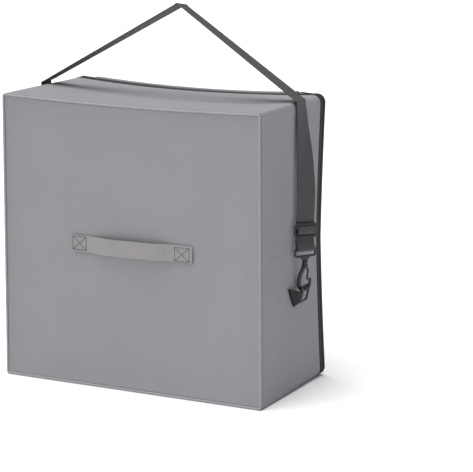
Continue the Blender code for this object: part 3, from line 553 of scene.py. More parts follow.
def flat_section(width, thickness, across=14):
    """Webbing's profile: two long faces and round edges."""
    share = np.linspace(-1.0, 1.0, across + 1)
    edge = np.array([[width / 2 - 0.3 * thickness, thickness / 2], [width / 2, 0.22 * thickness],
                     [width / 2, -0.22 * thickness], [width / 2 - 0.3 * thickness, -thickness / 2]])
    top = np.stack([share[1:-1] * (width / 2 - 0.3 * thickness), np.full(across - 1, thickness / 2)], -1)
    return np.concatenate([top, edge, top[::-1] * (1, -1), edge[::-1] * (-1, 1)])


def stitch_row(path, out, length, gap, radius):
    """Thread along a path, stitch by stitch: each a short bead that dips into the cloth at both ends."""
    path = np.asarray(path, float)
    far = np.concatenate([[0.0], np.cumsum(np.linalg.norm(np.diff(path, axis=0), axis=1))])
    count = max(1, int(far[-1] / (length + gap)))
    middle = (np.arange(count) + 0.5) * far[-1] / count
    at = lambda s: np.stack([np.interp(s, far, path[:, k]) for k in range(3)], -1)
    here, run = at(middle), unit(at(middle + length / 2) - at(middle - length / 2) + 1e-12)
    out = np.broadcast_to(out, path.shape)
    lift = np.stack([np.interp(middle, far, out[:, k]) for k in range(3)], -1)
    lift = unit(lift - run * np.sum(lift * run, axis=1, keepdims=True))
    side = np.cross(run, lift)
    t, turn = np.meshgrid(np.linspace(-1.0, 1.0, BEAD_GRID), np.arange(BEAD_GRID) * 2 * np.pi / BEAD_GRID,
                          indexing="ij")
    thick = radius * np.sqrt(1.02 - t**2)
    rise = radius * (0.35 - 0.9 * t**4)
    bead = (here[:, None, None] + (t * length / 2)[None, ..., None] * run[:, None, None]
            + (thick * np.cos(turn))[None, ..., None] * side[:, None, None]
            + (thick * np.sin(turn) + rise)[None, ..., None] * lift[:, None, None])
    index = np.arange(BEAD_GRID**2).reshape(BEAD_GRID, BEAD_GRID)
    cell = np.stack([index[:-1], np.roll(index[:-1], -1, axis=1), np.roll(index[1:], -1, axis=1),
                     index[1:]], -1)
    faces = (cell.reshape(1, -1, 4) + (BEAD_GRID**2 * np.arange(count))[:, None, None]).reshape(-1, 4)
    caps = np.stack([index[0][::-1], index[-1]])[None] + (BEAD_GRID**2 * np.arange(count))[:, None, None]
    points = bead.reshape(-1, 3)
    return points, [faces, caps.reshape(-1, BEAD_GRID)], points[:, :2]


# ---------------------------------------------------------------- the cloth box

def seam_pucker(along, from_seam, pitch, size, reach):
    """Little gathers beside a seam, that fade with the distance from it."""
    return size * np.sin(2 * np.pi * along / pitch + 2.0 * np.sin(along * 31.0)) * np.exp(-from_seam / reach)


def top_folds(x, y):
    """The long crease that runs slantwise over the top, and shallow hollows to each side of it."""
    across = x / (BAG_WIDTH / 2)
    depth = (y - FRONT_Y) / BAG_DEPTH
    crease = np.exp(-np.abs(depth - 0.575 + 0.09 * across) / 0.06)
    hollow = np.sin(np.pi * np.clip(depth, 0.0, 1.0) * 3.0) ** 2
    ends = np.clip(1.0 - across**4, 0.0, 1.0) * np.clip(1.0 - (2 * depth - 1.0) ** 6, 0.0, 1.0)
    drape = waves(x, y, [(2.1, 6.0, 0.4, 0.0003), (-1.4, 17.0, 1.9, 0.00022), (5.0, 11.0, 2.6, 0.00012)])
    return (TOP_CREASE * (crease + 0.5 * hollow) + drape) * ends


def wall(name, side, node, looks):
    codes = side_codes(150)
    reach = BAND_Y - CLEARANCE - WALL_FRONT_Y
    depth_stations = np.unique(np.concatenate([np.linspace(0.0, 1.0, 71), np.linspace(0.0, 0.08, 14)]))

    def place(u, v, w):
        code = np.interp(u, np.linspace(0.0, 1.0, len(codes)), codes)
        y = WALL_FRONT_Y + v * reach
        along = np.clip(code, -1.0, 1.0) * BAG_HEIGHT / 2
        inner = np.clip(1.0 - code**8, 0.0, 1.0)
        relief = seam_pucker(along, v * reach, 0.0105, 0.00035, 0.010)
        relief = relief + seam_pucker(along, (1 - v) * reach, 0.0120, 0.00040, 0.012)
        relief = relief + waves(along, y, [(2.3, 3.1, 0.7 * side, 0.0005), (-3.7, 5.3, 1.7, 0.0003),
                                           (1.1, -7.9, 2.9, 0.0003), (7.0, 4.0, 0.3, 0.00012)])
        relief = relief * inner * np.clip(12 * v, 0, 1) * np.clip(12 * (1 - v), 0, 1)
        if side in (1, 3):
            groove = np.exp(-((along - 0.0) / 0.0016) ** 2) * np.clip(8 * v, 0,
                                                                      1) * np.clip(6 * (1 - v), 0, 1)
            relief = relief - 0.0007 * groove
        x, z = outline(np.full(u.shape, side), code, corner_radius(y), w * WALL - relief * (1 - w),
                       CLEARANCE / 2)
        if side == 2:
            z = z - top_folds(x, y)
        return settled(np.stack([x, y, z], axis=-1))

    kept = None
    us, vs = np.linspace(0.0, 1.0, len(codes)), depth_stations
    if side == 0:
        half = (BAG_WIDTH / 2 - FRONT_CORNER)
        low = (WINDOW_BACK - WINDOW_DEPTH / 2 - WALL_FRONT_Y) / reach
        high = (WINDOW_BACK + WINDOW_DEPTH / 2 - WALL_FRONT_Y) / reach
        vs = np.unique(np.concatenate([vs, [low, high]]))
        middle_v = (vs[1:] + vs[:-1]) / 2
        middle_code = np.interp((us[1:] + us[:-1]) / 2, us, codes)
        inside_u = np.abs(middle_code) * half < WINDOW_WIDTH / 2
        kept = ~(inside_u[:, None] & ((middle_v > low) & (middle_v < high))[None, :])
    shape(name, *shell(us, vs, place, (BAG_WIDTH, reach), kept), looks, [node], "cloth")


def rounded_square(u, v, half_width, half_height, radius, stations):
    """A unit square mapped to a rectangle with round corners: in each corner square a point moves in so that
    the outer edges lie on the arc."""
    a = np.interp(u, np.linspace(0.0, 1.0, len(stations)), stations)
    b = np.interp(v, np.linspace(0.0, 1.0, len(stations)), stations)
    x, z = a * half_width, b * half_height
    over_x = np.clip((np.abs(x) - half_width + radius) / radius, 0.0, 1.0)
    over_z = np.clip((np.abs(z) - half_height + radius) / radius, 0.0, 1.0)
    new_x = np.where(over_x > 0, np.sign(x) * (half_width - radius + radius * over_x
                                               * np.sqrt(1 - over_z**2 / 2)), x)
    new_z = np.where(over_z > 0, np.sign(z) * (half_height - radius + radius * over_z
                                               * np.sqrt(1 - over_x**2 / 2)), z)
    return new_x, new_z


def front_surface(x, z):
    """Y of the front panel's outer face: it lies behind its seam, at once at the foot, over a few fingers
    elsewhere."""
    from_side = BAG_WIDTH / 2 - np.abs(x)
    from_top = BAG_HEIGHT - z
    rise = (1 - np.exp(-from_side / 0.014)) * (1 - np.exp(-from_top / 0.020)) * (1 - np.exp(-z / 0.010))
    return FRONT_Y + 0.3 * PIPING + PANEL_DISH * rise


def front_relief(x, z):
    """Depth of the front panel's soft folds: slack cloth over a stiff board, pinched by the handle's ends."""
    from_side = np.clip(BAG_WIDTH / 2 - np.abs(x), 0.0, None)
    from_edge = np.minimum(from_side, np.minimum(np.clip(z, 0, None), np.clip(BAG_HEIGHT - z, 0, None)))
    fade = 1 - np.exp(-from_edge / 0.010)
    slack = waves(x, z, [(1.3, 1.9, 0.3, 0.0007), (-2.3, 1.1, 1.6, 0.0005), (3.9, -2.7, 2.2, 0.0003),
                         (1.7, 6.1, 0.9, 0.00022), (-7.3, 2.9, 4.0, 0.00012)])
    gathers = seam_pucker(x, BAG_HEIGHT - z, 0.016, 0.00035, 0.016) + seam_pucker(z, from_side, 0.015,
                                                                                  0.0003, 0.012)
    pinch = 0.0
    for spot in (-0.0845, 0.0865):
        away = np.hypot((x - spot) / 0.020, (z - HANDLE_HEIGHT) / 0.017)
        pinch = pinch + 0.0008 * np.exp(-away**2) * (1 + 0.2
                                                     * np.sin(9 * np.arctan2(z - HANDLE_HEIGHT, x - spot)))
    return (slack + gathers) * fade + pinch


def build_front():
    inner = PIPING + CLEARANCE
    half_width, half_height = BAG_WIDTH / 2 - inner, BAG_HEIGHT / 2 - inner
    corner = FRONT_CORNER / 2
    edge = np.linspace(1.0 - corner / half_width, 1.0, 5)
    near = 1.0 - (1.0 - edge[0]) - np.linspace(0.0, 0.10, 26)[1:]
    stations = np.unique(np.round(np.concatenate([edge, near, -edge, -near,
                                                  np.linspace(-0.88, 0.88, 130)]), 9))
    us = np.linspace(0.0, 1.0, len(stations))

    def place(u, v, w):
        x, z = rounded_square(u, v, half_width, half_height, corner, stations)
        z = z + BAG_HEIGHT / 2
        y = front_surface(x, z) + w * WALL + (1 - w) * np.clip(front_relief(x, z), -0.0012, 0.0019)
        return settled(np.stack([x, y, z], axis=-1))

    shape("front_cloth", *shell(us, us, place, (2 * half_width, 2 * half_height)), CLOTH, ["front_panel"],
          "cloth")


def front_loop(cells=60, inset=PIPING / 2, y=FRONT_Y + PIPING / 2):
    """The line round the front of the box, at this distance inside its outline."""
    codes = side_codes(cells, 5)[:-1]
    loop = []
    for side in range(4):
        x, z = outline(np.full(len(codes), side), codes, FRONT_CORNER, inset)
        loop.append(np.stack([x, np.full(len(codes), y), z], axis=-1))
    return settled(np.concatenate(loop))


def build_seams():
    """The turned seam round the front panel, its cloth painted lighter as a painted highlight on the ridge, and the
    thread that holds it.
    """
    path = front_loop()
    far = np.concatenate([[0.0], np.cumsum(np.linalg.norm(np.diff(path, axis=0), axis=1))])
    fore, up = frames(path, (0.0, -1.0, 0.0), closed=True)
    swell = 1.0 + 0.05 * np.sin(far * 390.0) + 0.04 * np.sin(far * 151.0)
    section = round_section(PIPING / 2, 16, power=2.4)[None] * swell[:, None, None]
    shape("front_seam", *swept(path, section, fore, up, closed=True), SEAM_CLOTH_PAINTED_LIGHTER, ["front_piping"],
          "seam_trim")
    thread_path = front_loop(60, PIPING * 0.05, FRONT_Y + PIPING + 0.0026)
    out = unit(thread_path - np.array([0.0, 0.0, BAG_HEIGHT / 2]) * (1, 0, 1)) * (1, 0, 1)
    big = np.abs(out[:, 0]) > np.abs(out[:, 2])
    out = np.stack([np.where(big, np.sign(out[:, 0]), 0.0), np.zeros(len(out)),
                    np.where(big, 0.0, np.sign(out[:, 2]))], -1)
    shape("front_seam_thread", *stitch_row(thread_path, out, *SEAM_STITCH), GREY_THREAD, [],
          "cloth")


# ---------------------------------------------------------------- the zip and the lid

def band_stations(cells):
    codes = side_codes(cells)
    straight = BAG_WIDTH / 2 - REAR_CORNER
    left = np.linspace((straight - WRAP_LEFT) / straight, 1.0, 6)
    right = np.linspace(-1.0, -(straight - WRAP_RIGHT) / straight, 8)
    arc = codes[codes > 1.0]
    sides = [np.full(len(left) + len(arc), 2)]
    along = [left, arc]
    for side in (3, 0, 1):
        sides.append(np.full(len(codes) - 1, side))
        along.append(codes[1:])
    sides.append(np.full(len(arc) + len(right) - 1, 2))
    along += [-arc[::-1][1:], right]
    return np.concatenate(sides), np.concatenate(along)


def band_line(y, inset, cells=60):
    """The line that the zip follows: over the top at the left, down, along the foot, up and over the top."""
    sides, along = band_stations(cells)
    x, z = outline(sides, along, np.full(len(sides), REAR_CORNER), inset)
    return settled(np.stack([x, np.full(len(x), y), z], axis=-1))


def band_out(path):
    """Outward direction beside the band."""
    run = unit(np.gradient(path, axis=0))
    out = unit(np.cross(run, (0.0, 1.0, 0.0)))
    return np.where((np.sum(out * (path - (0, 0, BAG_HEIGHT / 2)) * (1, 0, 1), axis=1) < 0)[:, None],
                    -out, out)


def build_zip():
    middle_body = BAND_Y + TAPE_WIDTH / 2
    middle_lid = REAR_Y - TAPE_WIDTH / 2
    half = TAPE_WIDTH / 2
    share = np.linspace(-1.0, 1.0, 9)
    top = np.stack([share * half, TAPE_THICKNESS * (0.50 + 0.55 * (1 - share**2))], -1)
    section = np.concatenate([top, [[half, -TAPE_THICKNESS / 2], [-half, -TAPE_THICKNESS / 2]]])
    for name, y, node in (("zip_cloth_body", middle_body, "zip_tape_body"),
                          ("zip_cloth_lid", middle_lid, "zip_tape_lid")):
        path = band_line(y, TAPE_THICKNESS / 2)
        out = band_out(path)
        side = np.broadcast_to((0.0, 1.0, 0.0), path.shape)
        shape(name, *swept(path, section, side, out), BLACK_TAPE, [node], "zip_tape")
        row = path + side * (half * 0.55 * (1 if y == middle_body else -1)) * -1 + out * TAPE_THICKNESS * 0.92
        shape(name + "_thread", *stitch_row(row, out, *TAPE_STITCH), DARK_THREAD, [], "zip_tape")
    middle = BAND_Y + TAPE_WIDTH + CLEARANCE + CHAIN_WIDTH / 2
    path = band_line(middle, TAPE_THICKNESS * 0.6)
    out = band_out(path)
    far = np.concatenate([[0.0], np.cumsum(np.linalg.norm(np.diff(path, axis=0), axis=1))])
    count = int(far[-1] / TOOTH_PITCH)
    at = np.linspace(0.0, far[-1], count)
    centre = np.stack([np.interp(at, far, path[:, k]) for k in range(3)], -1)
    lift = unit(np.stack([np.interp(at, far, out[:, k]) for k in range(3)], -1))
    turn, across = np.meshgrid(np.arange(6) * np.pi / 3, np.linspace(-1.0, 1.0, 5), indexing="ij")
    thick = 0.00072 * np.sqrt(1.05 - across**2)
    run = unit(np.gradient(centre, axis=0))
    side = np.array([0.0, 1.0, 0.0])
    tooth = (centre[:, None, None] + (across * CHAIN_WIDTH * 0.5)[None, ..., None] * side
             + (thick * np.cos(turn))[None, ..., None] * run[:, None, None]
             + (thick * np.sin(turn))[None, ..., None] * lift[:, None, None])
    index = np.arange(TOOTH_RING * TOOTH_STEPS).reshape(TOOTH_RING, TOOTH_STEPS)
    cell = np.stack([index[:, :-1], np.roll(index, -1, axis=0)[:, :-1], np.roll(index, -1, axis=0)[:, 1:],
                     index[:, 1:]], -1)
    faces = (cell.reshape(1, -1, 4) + (TOOTH_RING * TOOTH_STEPS * np.arange(count))[:, None,
                                                                                    None]).reshape(-1, 4)
    caps = np.stack([index[::-1, 0], index[:, -1]])[None] + (TOOTH_RING * TOOTH_STEPS * np.arange(count))[:,
                                                                                                          None, None]
    points = tooth.reshape(-1, 3)
    bed = swept(path - out * CHAIN_BED, flat_section(CHAIN_WIDTH, CHAIN_BED, 4),
                np.broadcast_to(side, path.shape), out)
    coil = together((points, [faces, caps.reshape(-1, TOOTH_RING)], points[:, :2]), bed)
    shape("zip_coil", *coil, COIL, ["zip_chain"], "zip_coil")
    build_slider(middle)


def build_slider(middle):
    """The slider's two plates and bridge, and its pull lying flat."""
    low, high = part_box("zip_slider")
    length = high[0] - low[0]
    stations = np.linspace(0.0, 1.0, 21)
    path = np.stack([low[0] + stations * length, np.full(21, middle),
                     np.full(21, (low[2] + high[2]) / 2)], -1)
    rounding = np.sqrt(np.clip(1.02 - (2 * stations - 1) ** 8, 0, 1))
    width = (high[1] - low[1]) / 2 * (1.0 - 0.30 * stations) * rounding
    height = (high[2] - low[2]) / 2 * np.sqrt(np.clip(1.02 - (2 * stations - 1) ** 6, 0, 1))
    base = round_section(1.0, 16, power=3.5)
    section = base[None] * np.stack([width, height], -1)[:, None]
    side, up = frames(path, (0.0, 1.0, 0.0))
    bridge_path = fair([path[4] + (0, 0, 0.0012), path[8] + (0, 0, 0.0026), path[13] + (0, 0, 0.0026),
                        path[17] + (0, 0, 0.0010)], 6)
    bridge = swept(bridge_path, round_section(0.0007, 10), *frames(bridge_path, (0.0, 1.0, 0.0)))
    shape("zip_slider_shell", *together(swept(path, section, side, up), bridge), PLASTIC, ["zip_slider"],
          "black_plastic")
    low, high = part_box("zip_pull")
    count = 25
    stations = np.linspace(0.0, 1.0, count)
    path = np.stack([low[0] + stations * (high[0] - low[0]), np.full(count, middle),
                     np.linspace(high[2] + 0.0006, high[2] - 0.0003, count)], -1)
    width = (high[1] - low[1]) / 2 * (0.85 + 0.15 * np.cos(stations * 5.0)) * np.sqrt(
        np.clip(1.02 - (2 * stations - 1) ** 10, 0, 1))
    section = round_section(1.0, 14, power=3.0)[None] * np.stack([width, np.full(count, 0.0008)], -1)[:, None]
    side, up = frames(path, (0.0, 1.0, 0.0))
    shape("zip_pull_tag", *swept(path, section, side, up), PLASTIC, ["zip_pull"], "black_plastic")


def build_lid():
    left = -(BAG_WIDTH / 2 - WRAP_LEFT - REAR_CORNER) + CLEARANCE
    right = BAG_WIDTH / 2 - WRAP_RIGHT - REAR_CORNER - CLEARANCE
    rim_y = REAR_Y - LID_RIM / 2 - CLEARANCE
    rim_z = BAG_HEIGHT + LID_RIM_RISE
    half_width = BAG_WIDTH / 2 - TAPE_THICKNESS - CLEARANCE
    foot = TAPE_THICKNESS + CLEARANCE
    head = rim_z - LID_RIM / 2 - CLEARANCE
    radius = REAR_CORNER - foot
    edge = np.linspace(1.0 - radius / half_width, 1.0, 9)
    stations = np.unique(np.round(np.concatenate([edge, -edge, np.linspace(-edge[0], edge[0], 120)]), 9))
    us = np.linspace(0.0, 1.0, len(stations))

    def place(u, v, w):
        x, z = rounded_square(u, v, half_width, (head - foot) / 2, radius, stations)
        z = z + (head + foot) / 2
        middle = np.clip(1 - (x / half_width) ** 2, 0, 1) * np.clip(1 - (2 * z / BAG_HEIGHT - 1) ** 2, 0, 1)
        slack = waves(x, z, [(1.1, 1.7, 0.8, 0.0008), (-2.0, 1.3, 2.2, 0.0006), (3.3, -2.1, 0.4, 0.0003)])
        y = REAR_Y - CLEARANCE - LID_DISH * smooth(3 * middle) + 0.5 * LID_DISH * middle - w * WALL
        y = y + (1 - w) * slack * smooth(4 * middle)
        return settled(np.stack([x, y, z], axis=-1))

    shape("lid_cloth", *shell(us, us, place, (2 * half_width, head - foot)), CLOTH, ["lid_panel"], "cloth")

    def hinge(u, v, w):
        x = left + u * (right - left)
        y = BAND_Y + v * (rim_y - LID_RIM / 2 - CLEARANCE - BAND_Y)
        z = BAG_HEIGHT - w * TAPE_THICKNESS + (1 - w) * 0.0004 * np.sin(v * np.pi * 3)
        return settled(np.stack([x, y, z], axis=-1))

    shape("lid_hinge_tape", *shell(np.linspace(0, 1, 121), np.linspace(0, 1, 13), hinge,
                                   (right - left, 0.014)),
          BLACK_TAPE, ["lid_hinge"], "zip_tape")
    across = np.linspace(left, right, 121)
    path = settled(np.stack([across, np.full(121, rim_y), np.full(121, rim_z)], axis=-1))
    far = np.linspace(0.0, right - left, 121)
    taper = np.sqrt(np.clip(1.03 - (2 * far / far[-1] - 1) ** 30, 0, 1))
    swell = (1.0 + 0.04 * np.sin(far * 170.0)) * taper
    section = round_section(LID_RIM / 2, 18, power=2.4)[None] * swell[:, None, None]
    # The lid's rim takes the seam cloth, painted lighter as a painted highlight on its ridge.
    shape("lid_rim_cloth", *swept(path, section, *frames(path, (0.0, 1.0, 0.0))), SEAM_CLOTH_PAINTED_LIGHTER, ["lid_rim"],
          "seam_trim")
    row = path + (0.0, -LID_RIM * 0.35, LID_RIM * 0.36)
    shape("lid_rim_thread", *stitch_row(row, (0.0, -0.5, 0.8), *SEAM_STITCH), GREY_THREAD, [],
          "seam_trim")


def build_window():
    def film(u, v, w):
        x = (u - 0.5) * (WINDOW_WIDTH + 2 * FILM_LAP)
        y = WINDOW_BACK + (v - 0.5) * (WINDOW_DEPTH + 2 * FILM_LAP)
        slack = 0.0006 * np.sin(np.pi * u) * np.sin(np.pi * v) * (1 + 0.5 * np.sin(11 * u + 5 * v))
        return np.stack([x, y, WALL + CLEARANCE + w * FILM + slack], axis=-1)

    us = np.linspace(0, 1, 41)
    shape("window_sheet", *shell(us, us, film, (WINDOW_WIDTH, WINDOW_DEPTH)), FILM_LOOK, ["window_film"],
          "clear_film")
    rows = []
    for inset in (0.0035, 0.0065):
        a, b = WINDOW_WIDTH / 2 + inset, WINDOW_DEPTH / 2 + inset
        corners = np.array([[-a, -b], [a, -b], [a, b], [-a, b], [-a, -b]]) + (0.0, WINDOW_BACK)
        for p, q in zip(corners[:-1], corners[1:]):
            line = np.linspace(p, q, 9)
            rows.append(stitch_row(np.column_stack([line, np.full(9, -THREAD_PROUD)]), (0, 0, -1.0),
                                   *WINDOW_STITCH))
    shape("window_thread", *together(*rows), GREY_THREAD, [], "cloth")


# ---------------------------------------------------------------- handle and inner straps

def build_handle():
    """Webbing sewn flat at both ends and bowed off the panel, with a box and a cross of thread."""
    x = HANDLE_SIDE + (np.linspace(0.0, 1.0, 161) - 0.5) * HANDLE_LENGTH
    free = smooth((HANDLE_LENGTH / 2 - HANDLE_SEWN - np.abs(x - HANDLE_SIDE)) / (0.22 * HANDLE_LENGTH))
    height = HANDLE_HEIGHT + 0.0008 * np.sin((x - HANDLE_SIDE) * 15.0)
    y = front_surface(x, height) - CLEARANCE - HANDLE_THICKNESS / 2 - HANDLE_BOW * free
    path = settled(np.stack([x, y, height], -1))
    up = np.broadcast_to((0.0, 0.0, 1.0), path.shape)
    fore = unit(np.cross(unit(np.gradient(path, axis=0)), up))
    fore = fore * np.sign(-fore[:, 1:2])
    ends = np.clip((HANDLE_LENGTH / 2 - np.abs(x - HANDLE_SIDE)) / 0.0006, 0.55, 1.0)
    section = flat_section(HANDLE_WIDTH, HANDLE_THICKNESS, 20)[None] * np.stack([ends**0.2, ends],
                                                                                -1)[:, None]
    shape("handle_web", *swept(path, section, up, fore), HANDLE_WEB, ["grab_handle"], "handle_webbing")
    rows = []
    for low, high in ((-0.0962, -0.0737), (0.0745, 0.0985)):
        foot, head = HANDLE_HEIGHT - 0.0100, HANDLE_HEIGHT + 0.0100
        corners = [(low, foot), (high, foot), (high, head), (low, head), (low, foot), (high, head)]
        lines = list(zip(corners[:-1], corners[1:])) + [((high, foot), (low, head))]
        for p, q in lines:
            line = np.linspace(p, q, 13)
            y = front_surface(line[:, 0], line[:, 1]) - CLEARANCE - HANDLE_THICKNESS - 0.0001
            row = settled(np.stack([line[:, 0], y, line[:, 1]], -1))
            rows.append(stitch_row(row, (0, -1.0, 0), *HANDLE_STITCH))
    shape("handle_thread", *together(*rows), DARK_THREAD, [], "handle_webbing")


def build_elastics():
    for name, side in (("inner_strap_left", -1), ("inner_strap_right", 1)):
        share = np.linspace(0.0, 1.0, 121)
        top = BAG_HEIGHT - WALL - 2.2 * TOP_CREASE - CLEARANCE
        foot = WALL + CLEARANCE
        y = FRONT_Y + WALL + PANEL_DISH + ELASTIC_OFF_PANEL * (0.4 + 0.6 * np.sin(np.pi * share))
        path = settled(np.stack([np.full(121, side * ELASTIC_APART / 2), y, foot + share * (top - foot)], -1))
        across, out = frames(path, (1.0, 0.0, 0.0))
        shape(name.replace("inner", "elastic"), *swept(path, flat_section(ELASTIC_WIDTH, ELASTIC_THICKNESS),
                                                       across, out),
              ELASTIC, [name], "elastic")


# ---------------------------------------------------------------- the shoulder strap

HANG = np.array([
    (0.000, HOOK_OUT, HOOK_BACK, 40.0),
    (0.126, 0.0128, 0.0166, 41.0),
    (0.252, 0.0130, 0.0170, 42.0),
    (0.416, 0.0125, 0.0180, 44.0),
    (0.626, 0.0090, 0.0210, 28.0),
    (0.836, 0.0040, 0.0230, 8.0),
    (1.000, 0.0010, STRAP_BACK, 0.0),
])


def axes_at(turn_deg, down):
    """Width, outward and up directions of webbing or hardware turned from the wall by this angle."""
    turn = math.radians(turn_deg)
    width = np.array([math.sin(turn), math.cos(turn), 0.0])
    up = -np.asarray(down, float)
    width = unit(width - up * (width @ up))
    return width, np.cross(width, up), up


def rise_to(share):
    """Height at this share of the rise from the loop's bar to the box's top edge."""
    return HOOK_HEIGHT + share * (BAG_HEIGHT - HOOK_HEIGHT)


def hang(height):
    share = (height - HOOK_HEIGHT) / (BAG_HEIGHT - HOOK_HEIGHT)
    out, back, turn = (np.interp(share, HANG[:, 0], HANG[:, k]) for k in (1, 2, 3))
    width, outward, _ = axes_at(turn, (0.0, 0.0, -1.0))
    return np.array([BAG_WIDTH / 2 + out, back, height]), width, outward


def ellipse(middle, half_height, half_depth, start_deg, stop_deg, count):
    angle = np.radians(np.linspace(start_deg, stop_deg, count))
    return [(middle + half_height * math.sin(a), half_depth * math.cos(a)) for a in angle]


def strap_right():
    """Height and outward offset of the webbing at the right: down behind the adjuster's upper bar, over its
    middle bar, behind the lower bar, round the hook loop's bar and back up round the middle bar."""
    half = STRAP_THICKNESS / 2
    slide = HOOK_HEIGHT + SLIDE_ABOVE_BAR
    over = SLIDE_WRAP + STRAP_THICKNESS + CLEARANCE
    slot_edge = SLIDE_BAR / 2 + SLIDE_SLOT
    cross = slot_edge - CLEARANCE - half
    behind = SLIDE_THICKNESS / 2 + CLEARANCE + half
    second = behind + STRAP_THICKNESS + CLEARANCE
    round_bar = LOOP_BAR / 2 + BAR_LIFT
    entry = SLIDE_THICKNESS / 3
    tail = SLIDE_HEIGHT / 2 - CLEARANCE
    path = [(rise_to(RUN_FOOT), 0.0), (slide + 1.8 * SLIDE_HEIGHT, -CLEARANCE),
            (slide + 0.7 * SLIDE_HEIGHT, -behind)]
    path += [(slide + slot_edge + CLEARANCE, -behind), (slide + cross + CLEARANCE, 2 * CLEARANCE - behind)]
    path += [(slide + cross, -entry)]
    path += ellipse(slide, cross, over, 80, -80, 9)
    path += [(slide - cross, -entry), (slide - cross - CLEARANCE, 2 * CLEARANCE - behind)]
    path += [(slide - slot_edge - CLEARANCE, -behind), (slide - tail, -behind)]
    path += [(HOOK_HEIGHT + 2.5 * LOOP_BAR, -2 * CLEARANCE), (HOOK_HEIGHT + 1.1 * LOOP_BAR, 0.6 * round_bar)]
    path += ellipse(HOOK_HEIGHT, round_bar, round_bar, 15, -195, 9)
    path += [(HOOK_HEIGHT + 1.4 * LOOP_BAR, -1.3 * round_bar)]
    path += [(HOOK_HEIGHT + 2.8 * LOOP_BAR, -second - 2 * CLEARANCE)]
    path += [(slide - tail, -second), (slide - slot_edge - CLEARANCE, -second)]
    path += [(slide - 1.1 * SLIDE_BAR, -0.5 * (second + SLIDE_WRAP))]
    path += ellipse(slide, SLIDE_WRAP, SLIDE_WRAP, 180, 15, 8)
    return path


def strap_left():
    """The sewn end: the tail hangs behind the run, and the webbing goes round the left loop's bar."""
    round_bar = LOOP_BAR / 2 + BAR_LIFT
    layer = STRAP_THICKNESS + CLEARANCE
    sewn = HOOK_HEIGHT + SEWN_TAIL
    path = [(rise_to(RUN_FOOT), 0.0), (sewn, 0.0), (HOOK_HEIGHT + 4.4 * LOOP_BAR, 2 * CLEARANCE)]
    path += [(HOOK_HEIGHT + 1.4 * LOOP_BAR, 0.7 * round_bar)]
    path += ellipse(HOOK_HEIGHT, round_bar, round_bar, 15, -195, 9)
    path += [(HOOK_HEIGHT + 1.9 * LOOP_BAR, -round_bar), (HOOK_HEIGHT + 4.7 * LOOP_BAR, CLEARANCE - layer)]
    path += [(sewn, -layer)]
    return path


def strap_line():
    """Every station of the shoulder strap, its middle and its width direction, from the left end."""
    runs = {height: hang(height) for height in map(rise_to, RUN_SHARES)}
    stations = []
    for height, offset in reversed(strap_left()):
        spot, width, outward = hang(height)
        stations.append(((spot + offset * outward) * (-1, 1, 1), width * (1, -1, -1)))
    stations += [(spot * (-1, 1, 1), width * (1, -1, -1)) for spot, width, _ in reversed(runs.values())]
    clear = CLEARANCE + STRAP_THICKNESS / 2
    apex = np.array([APEX_SIDE, STRAP_BACK, APEX_HEIGHT])
    for side in (-1, 1):
        shoulder = np.array([side * (BAG_WIDTH / 2 + clear), STRAP_BACK, BAG_HEIGHT + clear])
        spots = [(shoulder - (0, 0, drop), 0.0) for drop in SHOULDER_DROPS]
        spots += [(shoulder + SHOULDER_BEND * np.array([-side, 0, 1]), 0.0)]
        spots += [(shoulder + share * (apex - shoulder), share)
                  for share in (0.02, *np.linspace(0.06, 0.97, 11))]
        spots += [(apex, 1.0)] if side > 0 else []
        part = []
        for spot, share in spots:
            tilt = share * math.radians(APEX_TILT_DEG)
            part.append((spot, np.array([0.0, -math.cos(tilt), math.sin(tilt)])))
        stations += part if side < 0 else part[::-1]
    stations += [(spot, -width) for spot, width, _ in runs.values()]
    for height, offset in strap_right():
        spot, width, outward = hang(height)
        stations.append((spot + offset * outward, -width))
    return stations


def build_strap():
    """Webbing laid along its stations."""
    middle, width = (np.array(rows) for rows in zip(*strap_line()))
    fine = fair(np.column_stack([middle, width]), 6)
    middle, width = fine[:, :3], fine[:, 3:6]
    run = unit(np.gradient(middle, axis=0))
    width = unit(width - run * np.sum(width * run, axis=1, keepdims=True))
    section = flat_section(STRAP_WIDTH, STRAP_THICKNESS, 20)
    shape("strap_web", *swept(middle, section, width, np.cross(width, run)), STRAP_WEB, ["shoulder_strap"],
          "strap_webbing")


def build_strap_thread():
    """The sewn box that closes the strap's left end, on both faces."""
    low, high = HOOK_HEIGHT + 0.0170, HOOK_HEIGHT + 0.0345
    half = STRAP_WIDTH / 2 - 0.0030
    rows = []
    for face in (1.0, -1.0):
        corners = [(-half, low), (half, low), (half, high), (-half, high), (-half, low), (half, high)]
        for p, q in list(zip(corners[:-1], corners[1:])) + [((half, low), (-half, high))]:
            line = []
            for across, height in np.linspace(p, q, 9):
                spot, width, outward = hang(height)
                lift = STRAP_THICKNESS / 2 + THREAD_PROUD
                if face < 0:
                    lift = lift + STRAP_THICKNESS + CLEARANCE
                line.append((spot + across * width + face * lift * outward) * (-1, 1, 1))
            _, _, outward = hang(low)
            rows.append(stitch_row(line, face * outward * (-1, 1, 1), *STRAP_STITCH))
    shape("strap_thread", *together(*rows), DARK_THREAD, [], "strap_webbing")


# ---------------------------------------------------------------- moulded hardware

def laid(form, origin, axes):
    """A form drawn as (across, up, outward) put at its place."""
    width, outward, up = axes
    points, faces, uv = form
    return origin + points[:, :1] * width + points[:, 1:2] * up + points[:, 2:] * outward, faces, uv


def rounded_line(half_width, low, high, corner, cells=6):
    """A closed line round a rectangle with round corners."""
    line = []
    for x, y, start in ((half_width, low, 270), (half_width, high, 0), (-half_width, high, 90),
                        (-half_width, low, 180)):
        angle = np.radians(np.linspace(start, start + 90, cells))
        centre = (x - math.copysign(corner, x), y + (corner if y == low else -corner))
        line.append(np.stack([centre[0] + corner * np.cos(angle), centre[1] + corner * np.sin(angle)], -1))
    line = np.concatenate(line)
    return np.column_stack([line, np.zeros(len(line))])


